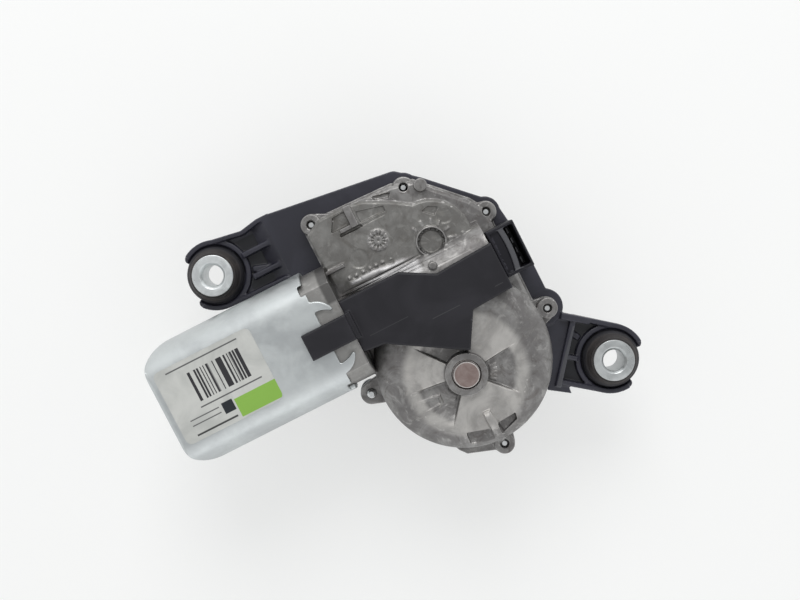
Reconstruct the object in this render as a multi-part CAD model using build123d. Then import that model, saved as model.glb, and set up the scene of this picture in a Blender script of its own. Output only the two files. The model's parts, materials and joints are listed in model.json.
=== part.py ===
"""Rear wiper gear motor: drawn motor can, die-cast gear housing, moulded bracket and crank drive.

Millimetres. The origin is on the output spindle's axis, in the plane of the tailgate panel that the
two mounting sleeves stand on. +X runs along the armature axis from the can to the gears, +Z points
from the panel to the inner side of the car, so the spindle leaves towards -Z.

The armature's worm drives a worm wheel. The wheel's crank pin swings a toothed sector rod, whose
sector rolls on the spindle's pinion while a link plate holds the two at their centre distance.
"""
import os
from math import acos, atan2, cos, degrees, hypot, pi, radians, sin, sqrt, tan

from build123d import *

# ---- fits ----
running = 0.05            # radial clearance of a shaft in its bush
gap = 0.3                 # air between pieces that move past each other

# ---- mounting on the tailgate ----
mount_half = 92.5         # middle of the mounting line to each sleeve
mount_drop = 35.3         # spindle axis to the mounting line
mount_turn = -38.9        # direction of the mounting line, degrees from +X
sleeve_length = 17.5
sleeve_bore_r = 4.8
sleeve_wall = 1.9
sleeve_flange_r = 9.3
sleeve_flange = 1.3       # thickness
sleeve_mouth = 1.2        # width of the countersink at the top
fork_r = 16.2             # outside of each fork
fork_wall = 2.2
grommet_r = fork_r - fork_wall - 1.1
grommet_neck_r = grommet_r - 2.0    # groove that the fork grips
left_fork_opens = 171.0   # direction of the slot, degrees from +X
right_fork_opens = -39.0
left_fork_half = 49.0     # half the opening angle
right_fork_half = 43.0

# ---- heights above the panel ----
axis_z = 26.5             # armature axis
arm_low = 4.0
web_low = 4.9
web_high = 7.5
fork_low = 2.6
fork_top = 9.8
plate_low = 8.0
floor_z = 10.8            # bottom of the gear recess in the bracket
plate_z = 13.2            # top of the bracket plate
seal = 0.8                # gasket thickness
link_low = 11.6
link_thick = 1.8
rod_low = 13.8
rod_thick = 3.0

# ---- motor ----
worm_y = -14.4            # armature axis beside the spindle
can_half_width = 28.35
can_half_height = 20.0
can_wall = 1.8
can_mouth_x = -57.8
can_corner = 12.5         # plan radius at the closed end
can_edge = 2.4            # rounding of the closed end
shaft_r = 4.0
pole_count = 10
stack_r = 16.6
stack_length = 33.8
coil_end = 5.5            # length of each winding head
air_gap = 0.8
magnet_half_angle = 41.0
commutator_r = 9.0
commutator_length = 12.0
riser = 2.0               # wide rim of the commutator that the coils are welded to
brush_plate = 2.3
brush_size = 5.0
brush_length = 8.0
brush_tube_wall = 1.0
bearing_length = 6.0

# ---- worm drive ----
module = 1.1
wheel_teeth = 60
wheel_x = -10.6
wheel_y = -52.8
tooth_top = 0.88
tooth_root = 1.25
backlash = 0.25
rim_width = 8.0
rim_thick = 4.0
web_thick = 4.0
wheel_hub_r = 8.0
worm_turns = 8
pressure_angle = 20.0

# ---- crank drive ----
crank_r = 9.5
crank_pin_r = 3.0
pinion_teeth = 14
sector_teeth = 24         # on the full circle
sector_module = 1.0
sector_top = 0.85
sector_root = 1.2
sector_backlash = 0.12
pivot_pin_r = 2.5
rod_eye = 3.2             # wall of each eye
rod_width = 8.0

# ---- spindle ----
spindle_r = 5.0
journal_r = 4.0           # inner end
journal_top = 31.0
bush_wall = 1.5
tube_r = 9.5
tube_end = -12.0
collar_r = 11.5
clip_thick = 0.8
taper_start = -15.5
thread_start = -24.0
spindle_end = -34.0
thread_r = 4.0
seal_width = 3.5

# ---- gear housing ----
drum_r = 39.2             # round part over the worm wheel
drum_edge = 10.0          # rounding of its shoulder
drum_top = 38.0
drum_roof = 5.0
sector_r_out = 26.3       # outer radius of the recesses between the raised petals
sector_depth = 2.7
boss_x = -12.4            # the axle's boss stands beside the drum's middle
boss_y = -57.6
boss_r = 9.3
boss_top = 41.0
axle_head_r = 6.0
axle_tip_r = 5.6
axle_top = 42.4
axle_flange_r = 9.4
pocket_top = 34.0
shoulder_top = 27.0
pocket_arc_r = 18.3
tunnel_r = 13.4
tunnel_bore_r = 7.0
flange_z = 18.0           # top of the sealing flange
ear_r = 4.6
ear_top = 22.5
screw_r = 2.0
screw_head_r = 4.6
screw_head = 3.2
rim_margin = 4.0          # flange width round the cavity

# ---- wiring cover and connector ----
cover_top = 44.0
cover_wall = 1.7
block_top = 50.0
socket_top = 40.0
socket_floor = 24.5
socket_wall = 1.5
terminal_count = 4


def polar(r, angle):
    """Vector of length r at an angle in degrees from +X."""
    return Vector(r * cos(radians(angle)), r * sin(radians(angle)))


# ---- worked-out places ----
mount_line = polar(1, mount_turn)
mount_foot = polar(mount_drop, mount_turn - 90)
left_mount = mount_foot - mount_line * mount_half
right_mount = mount_foot + mount_line * mount_half
wheel_at = Vector(wheel_x, wheel_y)
boss_at = Vector(boss_x, boss_y)

# motor, chained from the can's mouth to its closed end
plug_x = can_mouth_x - 4.5
commutator_x = plug_x - brush_plate - 1.0 - commutator_length / 2
stack_x = commutator_x - commutator_length / 2 - riser - 0.5 - coil_end - stack_length / 2
can_end_x = stack_x - stack_length / 2 - coil_end - 1.1 - bearing_length - 1.0 - can_wall

wheel_r = module * wheel_teeth / 2
worm_r = worm_y - wheel_y - wheel_r
lead = pi * module
wheel_tip_r = wheel_r + tooth_top
rim_low = axis_z - rim_width / 2
rim_high = axis_z + rim_width / 2
seat_z = plate_z + seal
rod_high = rod_low + rod_thick
link_high = link_low + link_thick

# four-bar: the sector pivot lies on a circle round the spindle, the rod is tangent in mid swing
pinion_r = sector_module * pinion_teeth / 2
sector_r = sector_module * sector_teeth / 2
link_length = pinion_r + sector_r
centre_distance = hypot(wheel_x, wheel_y)
rod_length = sqrt(centre_distance ** 2 - link_length ** 2)


def spindle_corner(reach):
    """Angle at the spindle between the wheel centre and the pivot when they are reach apart."""
    return degrees(acos((link_length ** 2 + centre_distance ** 2 - reach ** 2)
                        / (2 * link_length * centre_distance)))


def wheel_corner(reach):
    """Angle at the wheel centre between the spindle and the pivot when they are reach apart."""
    return degrees(acos((reach ** 2 + centre_distance ** 2 - link_length ** 2)
                        / (2 * reach * centre_distance)))


far_reach = rod_length + crank_r
near_reach = rod_length - crank_r
link_swing = spindle_corner(far_reach) - spindle_corner(near_reach)
rod_swing = wheel_corner(near_reach) - wheel_corner(far_reach)      # turn of the rod, clockwise
sector_ratio = sector_r / pinion_r
wipe_angle = link_swing * (1 + sector_ratio) - rod_swing * sector_ratio
rod_on_link = rod_swing - link_swing
wheel_bearing = degrees(atan2(wheel_y, wheel_x))
pivot_bearing = wheel_bearing - spindle_corner(far_reach)
pivot_at = polar(link_length, pivot_bearing)
rod_bearing = degrees(atan2(wheel_y - pivot_at.Y, wheel_x - pivot_at.X))
crank_at = pivot_at + polar(rod_length, rod_bearing)

# ears and screws of the gear housing
ears = [(-43.9, 30.5), (0.0, 26.7), (27.8, 0.6), (33.0, -50.1), (-11.2, -95.9), (-54.4, -49.0)]


# ---- helpers ----
def disc(r, low, high, x=0.0, y=0.0):
    """Upright cylinder between two heights."""
    return Pos(x, y, low) * Cylinder(r, high - low, align=(Align.CENTER, Align.CENTER, Align.MIN))


def ring(outer, inner, low, high, x=0.0, y=0.0):
    """Upright ring between two heights."""
    return disc(outer, low, high, x, y) - disc(inner, low - 1, high + 1, x, y)


def slab(sketch, low, high):
    """Plan sketch extruded between two heights."""
    return extrude(Pos(0, 0, low) * sketch, high - low)


def box(x0, x1, y0, y1, z0, z1):
    """Box between limits."""
    return Pos(x0, y0, z0) * Box(x1 - x0, y1 - y0, z1 - z0, align=(Align.MIN, Align.MIN, Align.MIN))


def plan(points):
    """Plan face with straight sides."""
    return make_face(Polyline(*points, close=True))


def wedge(r, start, end):
    """Plan sector from the origin, angles in degrees."""
    count = max(2, int((end - start) / 30) + 1)
    tips = [polar(r / cos(radians((end - start) / count / 2)), start + (end - start) * i / count)
            for i in range(count + 1)]
    return plan([(0, 0)] + [(p.X, p.Y) for p in tips])


def along_x(sketch, start, end):
    """Section round the armature axis extruded along X."""
    frame = Plane(origin=(start, worm_y, axis_z), x_dir=(0, 1, 0), z_dir=(1, 0, 0))
    return extrude(frame * sketch, end - start)


def rod_x(r, start, end):
    """Cylinder on the armature axis."""
    return along_x(Circle(r), start, end)


def tube_x(outer, inner, start, end):
    """Ring on the armature axis."""
    return rod_x(outer, start, end) - rod_x(inner, start - 1, end + 1)


def gear_outline(teeth, size, top, root, play, points=3):
    """Closed involute gear outline, with a tooth on +X."""
    pitch_r = size * teeth / 2
    alpha = radians(pressure_angle)
    base_r = pitch_r * cos(alpha)
    half = (pi * size / 2 - play) / 2 / pitch_r
    start_r = max(base_r, pitch_r - root)
    flank = [(pitch_r - root, half + tan(alpha) - alpha)] if base_r > pitch_r - root else []
    for i in range(points):
        r = start_r + (pitch_r + top - start_r) * i / (points - 1)
        roll = acos(min(1.0, base_r / r))
        flank.append((r, half + tan(alpha) - alpha - tan(roll) + roll))
    outline = []
    for tooth in range(teeth):
        middle = 2 * pi * tooth / teeth
        outline += [(r * cos(middle - a), r * sin(middle - a)) for r, a in flank]
        outline += [(r * cos(middle + a), r * sin(middle + a)) for r, a in reversed(flank)]
    return outline


# ---- motor ----
def can_section(inset):
    """Cross-section of the can: a circle with a flat above and below."""
    return Circle(can_half_width - inset) & Rectangle(2 * can_half_width, 2 * (can_half_height - inset))


def can_volume(inset, mouth):
    """Solid inside the can's surface, inset evenly, from the closed end to the mouth."""
    end = can_end_x + inset
    length = mouth - end
    corner = can_corner - inset
    block = along_x(can_section(inset), end, mouth)
    outline = RectangleRounded(length + 2 * corner, 2 * (can_half_width - inset), corner)
    outline = Pos(end + length / 2 + corner, worm_y) * outline
    return block & slab(outline, 0, 2 * axis_z)


def crimp_claw(side):
    """Hooked tongue on the can's rim, in plan, on one side of the claws' middle line."""
    def at(x, y):
        return (can_mouth_x + x, worm_y - 2.0 + side * y)
    outer = ThreePointArc(at(-0.6, 16.9), at(4.6, 14.9), at(7.5, 10.9))
    tip = ThreePointArc(at(7.5, 10.9), at(7.3, 10.1), at(6.6, 9.9))
    inner = ThreePointArc(at(6.6, 9.9), at(3.6, 11.5), at(-0.6, 12.0))
    return make_face(outer + tip + inner + Line(at(-0.6, 12.0), at(-0.6, 16.9)))


def motor_can():
    """Deep-drawn steel can with flats, rounded end and claws that hook over the housing."""
    outer = can_volume(0, can_mouth_x)
    end_edges = outer.edges().filter_by_position(Axis.X, can_end_x - 0.01, can_end_x + 0.01)
    outer = fillet(end_edges, can_edge)
    can = outer - can_volume(can_wall, can_mouth_x + 1)
    top = axis_z + can_half_height
    bottom = axis_z - can_half_height
    notch = 4.4
    for side, reach in ((1, 20.7), (-1, 26.2)):
        claw = crimp_claw(side)
        can += slab(claw, top - can_wall, top)
        can += slab(claw, bottom, bottom + can_wall)
        middle = worm_y + side * reach
        can -= box(can_mouth_x - 2.4, can_mouth_x + 1, middle - notch / 2, middle + notch / 2,
                   axis_z + 8, top + 1)
    return can


def field_magnets():
    """Two ferrite arcs against the round sides of the can."""
    inner = stack_r + air_gap
    outer = can_half_width - can_wall
    arc = Circle(outer) - Circle(inner)
    keep = wedge(2 * outer, -magnet_half_angle, magnet_half_angle)
    half = stack_length / 2 + 2
    return [along_x(Rot(0, 0, turn) * keep & arc, stack_x - half, stack_x + half) for turn in (0, 180)]


def armature_shaft():
    """Steel shaft with the rolled worm near its driven end."""
    start = can_end_x + can_wall + 0.6
    shaft = rod_x(shaft_r, start, shaft_end_x)
    root_r = worm_r - tooth_root
    reach = lead * worm_turns / 2
    core = rod_x(root_r, wheel_x - reach - 3, wheel_x + reach + 3)
    half = (lead / 2 - backlash) / 2
    slope = tan(radians(pressure_angle))
    sink = 0.15
    foot = half + slope * (tooth_root + sink)
    crest = half - slope * tooth_top
    low, high = root_r - sink, worm_r + tooth_top
    profile = Plane.XZ * plan([(low, -foot), (low, foot), (high, crest), (high, -crest)])
    helix = Helix(pitch=lead, height=lead * worm_turns, radius=worm_r)
    thread = sweep(profile, path=helix, is_frenet=True)
    frame = Plane(origin=(wheel_x - reach, worm_y, axis_z), x_dir=(0, -1, 0), z_dir=(1, 0, 0))
    return shaft + core + frame.location * thread


def pole_bars(inner, outer, width):
    """Radial bars, one for each armature slot."""
    bar = Pos((inner + outer) / 2, 0) * Rectangle(outer - inner, width)
    return [Rot(0, 0, 360 * (i + 0.5) / pole_count) * bar for i in range(pole_count)]


slot_floor = 8.0
slot_width = 4.0


def lamination_stack():
    """Slotted iron core, pressed on the shaft."""
    section = Circle(stack_r) - Circle(shaft_r)
    for bar in pole_bars(slot_floor, stack_r + 1, slot_width):
        section -= bar
    return along_x(section, stack_x - stack_length / 2, stack_x + stack_length / 2)


def armature_windings():
    """Copper in the slots, with a winding head at each end."""
    half = stack_length / 2
    coil_r = stack_r - 1.2
    coils = tube_x(coil_r, shaft_r + 2, stack_x - half - coil_end, stack_x - half)
    coils += tube_x(coil_r, shaft_r + 2, stack_x + half, stack_x + half + coil_end)
    for bar in pole_bars(slot_floor, coil_r, slot_width):
        coils += along_x(bar, stack_x - half - 1, stack_x + half + 1)
    return coils


def commutator():
    """Copper segments on a moulded hub, with a riser towards the windings."""
    half = commutator_length / 2
    body = tube_x(commutator_r, shaft_r, commutator_x - half, commutator_x + half)
    body += tube_x(commutator_r + 1.2, shaft_r, commutator_x - half - riser, commutator_x - half)
    for bar in pole_bars(commutator_r - 0.6, commutator_r + 2, 0.5):
        body -= along_x(bar, commutator_x - half - 3, commutator_x + half + 1)
    return body


rear_wall_x = can_end_x + can_wall


def rear_bearing():
    """Sintered bush in the closed end."""
    return tube_x(shaft_r + 3.6, shaft_r + running, rear_wall_x + 1.0, rear_wall_x + 1.0 + bearing_length)


def bearing_retainer():
    """Pressed cup that holds the rear bush against the can's end."""
    cup = tube_x(shaft_r + 5.2, shaft_r + 3.6, rear_wall_x, rear_wall_x + bearing_length)
    return cup + tube_x(shaft_r + 10.0, shaft_r + 3.6, rear_wall_x, rear_wall_x + 1.2)


bulkhead_x = -50.6
bulkhead = 3.6
plug_inset = can_wall + 0.1
plug_wall = 2.4


def brush_frame(side):
    """Frame at the brush axis, with its Z pointing outwards along Y."""
    return Plane(origin=(commutator_x, worm_y, axis_z), x_dir=(1, 0, 0), z_dir=(0, side, 0))


brush_tube_start = commutator_r + 1.6
brush_tube_end = can_half_width - can_wall - 3.4


def brush_holder():
    """Moulded plate in the housing plug, with a square tube for each brush."""
    plate_start = plug_x - brush_plate
    plate = along_x(can_section(can_wall + 1.2) - Circle(commutator_r + 1.0), plate_start, plug_x)
    for side in (1, -1):
        frame = brush_frame(side)
        outer = brush_size + 2 * (brush_tube_wall + running)
        inner = brush_size + 2 * running
        tube = extrude(frame.offset(brush_tube_start) * Rectangle(outer, outer),
                       brush_tube_end - brush_tube_start)
        lug = box(commutator_x, plate_start + 1, worm_y + side * 18 - 4, worm_y + side * 18 + 4,
                  axis_z - 4.6, axis_z + 4.6)
        hollow = extrude(frame.offset(brush_tube_start - 1) * Rectangle(inner, inner),
                         brush_tube_end - brush_tube_start + 1 - brush_tube_wall)
        plate += tube + lug
        plate -= hollow
    return plate


def carbon_brushes():
    """Two brushes with faces curved to the commutator."""
    brushes = []
    for side in (1, -1):
        bar = extrude(brush_frame(side).offset(commutator_r - 1) * Rectangle(brush_size, brush_size),
                      brush_length + 1)
        brushes.append(bar - rod_x(commutator_r + running, commutator_x - 9, commutator_x + 9))
    return brushes


def brush_springs():
    """Coil spring behind each brush."""
    wire = 0.7
    start = commutator_r + brush_length
    height = brush_tube_end - brush_tube_wall - start - wire
    coil_r = brush_size / 2 - wire
    springs = []
    for side in (1, -1):
        helix = Helix(pitch=height / 4, height=height, radius=coil_r)
        coil = sweep(Plane.XZ * Pos(coil_r, 0) * Rectangle(wire, wire), path=helix, is_frenet=True)
        springs.append(brush_frame(side).offset(start + wire / 2).location * coil)
    return springs


# ---- gear housing ----
pocket_corners = [(-48.6, -52.0), (-48.6, 28.2), (-40.5, 32.6), (-4.6, 31.2), (5.4, 28.6),
                  (24.6, 9.2), (29.3, 1.5), (29.3, -52.0)]
flange_lip = [(-33.5, -84.0), (-30.9, -90.2), (-28.3, -93.4), (-14.3, -98.3), (-11.2, -90.0)]
raised_corners = [(-46.6, worm_y), (-46.6, 26.6), (-39.4, 30.6), (-25.0, 30.4), (-18.6, 29.0),
                  (-6.0, 22.4), (0.0, pocket_arc_r), (pocket_arc_r, 0.0), (pocket_arc_r, worm_y)]


def footprint(grow=0.0):
    """Plan of the housing flange without its ears, grown or shrunk evenly."""
    pocket = plan(pocket_corners)
    if grow:
        pocket = offset(pocket, grow, kind=Kind.INTERSECTION)
    return pocket + Pos(wheel_x, wheel_y) * Circle(drum_r + grow)


def raised_plan(grow=0.0):
    """Plan of the high part of the upper pocket."""
    field = plan(raised_corners)
    if grow:
        field = offset(field, grow, kind=Kind.INTERSECTION)
    return field + Circle(pocket_arc_r + grow)


def drum():
    """Round part over the worm wheel: rounded shoulder, recessed sectors and the axle's boss."""
    top_r = drum_r - drum_edge
    edge_z = drum_top - drum_edge
    profile = Polyline((0, seat_z), (drum_r + 0.3, seat_z), (drum_r, edge_z))
    profile += RadiusArc((drum_r, edge_z), (top_r, drum_top), -drum_edge)
    profile += Polyline((top_r, drum_top), (0, drum_top), (0, seat_z))
    body = Pos(wheel_x, wheel_y) * revolve(Plane.XZ * make_face(profile), Axis.Z)
    for start, end in ((-47, 6), (58, 128), (173, 231)):
        section = (wedge(2 * sector_r_out, start, end) & Circle(sector_r_out)) - Circle(boss_r - 0.5)
        body -= extrude(Pos(boss_x, boss_y, drum_top) * section, -sector_depth, taper=12)
    return body + disc(boss_r, seat_z, boss_top, boss_x, boss_y)


def drum_inside():
    """Room for the worm wheel, open downwards, with a sloping edge under the shoulder."""
    wall_r = drum_r - rim_margin - 0.2
    roof_z = drum_top - drum_roof
    profile = plan([(0, seat_z - 1), (wall_r, seat_z - 1), (wall_r, rim_high - 1.0),
                    (wall_r - 2.7, roof_z), (0, roof_z)])
    return Pos(wheel_x, wheel_y) * revolve(Plane.XZ * profile, Axis.Z)


def tunnel():
    """Round hump over the worm, cut off at the gasket."""
    hump = rod_x(tunnel_r, bulkhead_x, tunnel_end_x)
    return hump - box(bulkhead_x - 1, tunnel_end_x + 1, worm_y - 30, worm_y + 30, 0, seat_z)


shaft_end_x = 16.6
button_r = 3.2
button_sunk = 1.6         # part of the thrust button inside the casting
tunnel_end_x = 21.5


def housing_outside():
    """Outer form of the casting, still solid."""
    body = slab(footprint(), seat_z, flange_z)
    shoulder = slab(offset(plan(pocket_corners), -1.6, kind=Kind.INTERSECTION), seat_z, shoulder_top)
    shoulder = chamfer(shoulder.faces().sort_by(Axis.Z)[-1].edges(), 1.4)
    raised = slab(raised_plan(), seat_z, pocket_top)
    raised = chamfer(raised.faces().sort_by(Axis.Z)[-1].edges(), 1.1)
    body += shoulder
    body += raised
    body += drum()
    body += tunnel()
    body += along_x(can_section(plug_inset), plug_x, bulkhead_x + bulkhead)
    body += slab(plan(flange_lip), seat_z, flange_z)
    for x, y in ears:
        inward = (wheel_at if y < -20 else Vector(-8, 0)) - Vector(x, y)
        inward = inward.normalized() * 11
        lobe = Pos(x, y) * Circle(ear_r + 0.4) + Pos(x + inward.X, y + inward.Y) * Circle(ear_r + 3)
        lobe = make_hull(lobe.edges())
        body += slab(lobe, seat_z, flange_z + 1.0)
        body += disc(ear_r, seat_z, ear_top, x, y)
    return body


def beads(points, r, low, high):
    """Row of small round beads."""
    return [disc(r, low, high, x, y) for x, y in points]


def ticks(x, y, inner, outer, angles, low, high):
    """Short radial bars round a place."""
    return [Pos(x, y) * Rot(0, 0, a) * box(inner, outer, -0.4, 0.4, low, high) for a in angles]


def housing_details():
    """Small raised forms on the casting: pads, ribs, rings, beads and ticks."""
    base = pocket_top - 0.5
    recess = drum_top - sector_depth
    frame = plan([(-37.2, -59.2), (-26.8, -60.9), (-27.0, -65.3), (-37.9, -65.6)])
    rib_side = plan([(-95.4, flange_z), (-95.4, 22.0), (-90.5, 32.0), (-84.5, 38.4), (-76.0, 38.8),
                     (-76.0, drum_top - 3), (-86.0, flange_z)])
    return [
        box(-27.8, -24.6, 20.6, 30.2, base, pocket_top + 2.2),
        box(-33.0, -27.7, 20.6, 22.3, base, pocket_top + 1.6),
        box(-46.8, -38.2, 7.2, 8.8, base, pocket_top + 1.6),
        disc(2.9, shoulder_top - 2, shoulder_top + 2.4, 7.0, 24.1),
        ring(6.7, 6.0, base, pocket_top + 1.3),
        ring(4.7, 3.0, base, pocket_top + 0.5, -20.2, 10.9),
        ring(1.8, 0.8, base, pocket_top + 0.5, -20.2, 10.9),
        disc(1.7, pocket_top, axis_z + tunnel_r, -4.3, -9.4),
        extrude(Plane(origin=(-13.6, 0, 0), x_dir=(0, 1, 0), z_dir=(1, 0, 0)) * rib_side, 3.2),
        slab(frame - offset(frame, -0.9, kind=Kind.INTERSECTION), recess - 0.5, recess + 0.6),
        *[Rot(0, 0, 36 * i) * box(5.2, 6.3, -0.5, 0.5, base, pocket_top + 1.0) for i in range(10)],
        *ticks(0, 0, 7.5, 9.9, (119, 92, 65, 42, 12, -15), base, pocket_top + 0.5),
        *ticks(boss_x, boss_y, boss_r + 1.2, boss_r + 4.4, (-10, -17, -24, -31, -38), recess - 0.5,
               recess + 0.5),
        *ticks(boss_x, boss_y, boss_r + 1.2, boss_r + 3.6, (196, 202, 208, 214, 220), recess - 0.5,
               recess + 0.5),
        *beads([(-38.7, 1.8), (-35.6, 1.5), (-32.1, 1.6), (-28.8, 1.5), (-26.0, 1.6), (-22.9, 1.5),
                (-19.1, 0.8), (7.5, -2.9), (10.5, -2.9), (13.9, -2.9)], 0.6, base, pocket_top + 0.5),
    ]


def housing_recesses():
    """Shallow flat-floored recesses in the casting."""
    low = pocket_top - 1.2
    return [
        slab(plan([(-37.0, 22.6), (-33.6, 28.4), (-28.0, 28.6), (-28.0, 22.5)]), low, pocket_top + 5),
        slab(plan([(-23.6, 26.4), (-11.6, 23.2), (-11.6, 20.8), (-23.6, 21.0)]), pocket_top - 0.8,
             pocket_top + 5),
        slab(plan([(2.0, 13.6), (5.4, 14.4), (9.4, 12.0), (6.2, 9.6)]), pocket_top - 0.7, pocket_top + 5),
        slab(plan([(-14.6, 29.4), (-6.2, 27.3), (-7.8, 25.4), (-14.0, 27.4)]), shoulder_top - 1.2,
             shoulder_top + 0.5),
        slab(plan([(-24.0, -80.6), (-13.9, -83.6), (-13.9, -90.4), (-24.4, -86.4)]), drum_top - 3.6,
             drum_top + 1),
        slab(plan([(-10.1, -82.8), (-1.0, -82.2), (-1.6, -85.4), (-10.1, -88.2)]), drum_top - 3.6,
             drum_top + 1),
        disc(4.2, pocket_top - 0.4, pocket_top + 5, -31.3, 7.5),
        disc(3.6, pocket_top - 0.4, pocket_top + 5, 10.1, 7.6),
        box(-34.0, -23.6, 19.2, 20.5, low, pocket_top + 5),
        box(-23.7, -12.5, 19.3, 20.1, pocket_top - 0.8, pocket_top + 5),
    ]


def gear_housing():
    """Die-cast housing: drum, upper pocket, worm tunnel, motor plug, ears and inner bosses."""
    body = housing_outside()
    for piece in housing_recesses():
        body -= piece
    for piece in housing_details():
        body += piece
    roof = 2.5
    body -= slab(raised_plan(-roof), seat_z - 1, pocket_top - roof)
    body -= slab(offset(plan(pocket_corners), -rim_margin, kind=Kind.INTERSECTION),
                 seat_z - 1, shoulder_top - roof)
    body += tunnel()
    body += disc(journal_r + bush_wall + 1.8, flange_z + 0.6, pocket_top - 0.5)
    body -= disc(4.9, pocket_top - 1.0, pocket_top + 5)
    body -= slab(footprint(-rim_margin), seat_z - 1, flange_z + 0.6)
    body -= drum_inside()
    body -= disc(axle_head_r, seat_z, boss_top - 2.6, boss_x, boss_y)
    body -= disc(axle_head_r + 0.4, boss_top - 2.6, boss_top + 1, boss_x, boss_y)
    body -= rod_x(tunnel_bore_r, bulkhead_x - 1, shaft_end_x + 0.4)
    body -= rod_x(button_r, shaft_end_x, shaft_end_x + 0.4 + button_sunk)
    body -= along_x(can_section(plug_inset + plug_wall), plug_x - 1, bulkhead_x)
    body -= disc(journal_r + bush_wall, 0, journal_top + gap)
    body -= park_window()
    for x, y in ears:
        body -= disc(screw_r + running, seat_z - 1, axle_top, x, y)
    return body


def park_window():
    """Slot in the drum's roof that the park contact fingers reach through."""
    return box(wheel_x - 5, wheel_x + 5, wheel_y + 14, wheel_y + 27.5, rim_high, cover_top)


def housing_gasket():
    """Flat seal between the housing flange and the bracket plate, cut away round the screws."""
    gasket = slab(footprint(-0.8) - footprint(-rim_margin + 0.4), plate_z, seat_z)
    gasket -= along_x(can_section(plug_inset), plug_x, bulkhead_x + bulkhead)
    for x, y in ears:
        gasket -= disc(screw_r + 0.4, 0, seat_z + 1, x, y)
    return gasket


def front_bearing():
    """Bush in the bulkhead between motor and worm."""
    return tube_x(tunnel_bore_r, shaft_r + running, bulkhead_x, bulkhead_x + bearing_length)


def worm_end_bush():
    """Bush at the worm's free end."""
    return tube_x(tunnel_bore_r, shaft_r + running, shaft_end_x - 5.5, shaft_end_x - 0.5)


def thrust_button():
    """Hard pad that takes the worm's end thrust."""
    return rod_x(button_r, shaft_end_x + 0.1, shaft_end_x + 0.4 + button_sunk)


# ---- wheel and crank drive ----
disc_inner = 15.5
disc_outer = 27.4
disc_thick = 0.5
hub_low = 20.4
hub_high = 30.8


def worm_wheel():
    """Moulded worm wheel: slanted teeth, rim, web with ribs, hub and a boss for the crank pin."""
    slant = degrees(rim_width * lead / (2 * pi * worm_r) / wheel_r)
    outline = gear_outline(wheel_teeth, module, tooth_top, tooth_root, backlash)
    phase = 90 + 180 / wheel_teeth
    lower = Pos(0, 0, rim_low) * Rot(0, 0, phase - slant / 2) * plan(outline)
    upper = Pos(0, 0, rim_high) * Rot(0, 0, phase + slant / 2) * plan(outline)
    wheel = loft([lower, upper], ruled=True)
    inside_r = wheel_r - tooth_root - rim_thick
    web_z = axis_z - web_thick / 2
    wheel -= disc(inside_r, rim_low - 1, web_z)
    wheel -= disc(inside_r, web_z + web_thick, rim_high + 1)
    wheel += disc(wheel_hub_r, hub_low, hub_high)
    for i in range(6):
        wheel += Rot(0, 0, 60 * i + 30) * box(wheel_hub_r - 1, inside_r + 0.5, -0.8, 0.8, rim_low + 0.6, web_z)
    pin = crank_at - wheel_at
    wheel += disc(crank_pin_r + 2.2, hub_low + 0.6, axis_z, pin.X, pin.Y)
    wheel -= disc(shaft_r + running, 0, 50)
    wheel -= disc(crank_pin_r, 0, axis_z + 1, pin.X, pin.Y)
    return Pos(wheel_x, wheel_y) * wheel


def crank_pin():
    """Steel pin in the wheel; it ends just above the rod's eye."""
    return disc(crank_pin_r, rod_high + gap, axis_z + 1, crank_at.X, crank_at.Y)


def park_contact_disc():
    """Contact ring on the wheel with the gap that tells the park position."""
    track = ring(disc_outer, disc_inner, 0, disc_thick)
    track -= slab(wedge(2 * disc_outer, 60, 95) - Circle((disc_inner + disc_outer) / 2), -1, 2)
    return Pos(wheel_x, wheel_y, axis_z + web_thick / 2) * track


def wheel_axle():
    """Eccentric axle: turning its head in the boss sets the wheel's depth of mesh."""
    roof_z = drum_top - drum_roof
    axle = disc(axle_head_r, roof_z, boss_top - 2.6, boss_x, boss_y)
    tip = disc(axle_tip_r, roof_z, axle_top, boss_x, boss_y)
    axle += chamfer(tip.edges().group_by(Axis.Z)[-1], 0.5)
    axle += disc(axle_flange_r, roof_z - 1.8, roof_z, boss_x, boss_y)
    return axle + disc(shaft_r, hub_low - 1.6, roof_z - 1.0, wheel_x, wheel_y)


def axle_circlip():
    """Clip under the wheel."""
    clip = ring(shaft_r + 1.6, shaft_r, hub_low - 1.1, hub_low - 0.3)
    return Pos(wheel_x, wheel_y) * (clip - slab(wedge(12, 200, 240), 0, 40))


def link_plate():
    """Steel link that holds spindle and sector pivot at their centre distance."""
    eyes = Circle(spindle_r + rod_eye) + Pos(pivot_at.X, pivot_at.Y) * Circle(pivot_pin_r + rod_eye)
    plate = slab(make_hull(eyes.edges()), link_low, link_high)
    plate -= disc(spindle_r + running, 0, 40)
    return plate - disc(pivot_pin_r, 0, 40, pivot_at.X, pivot_at.Y)


def sector_pivot_pin():
    """Pin riveted in the link plate; the sector rod turns on it."""
    return disc(pivot_pin_r, link_low, rod_high + 0.2, pivot_at.X, pivot_at.Y)


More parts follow.
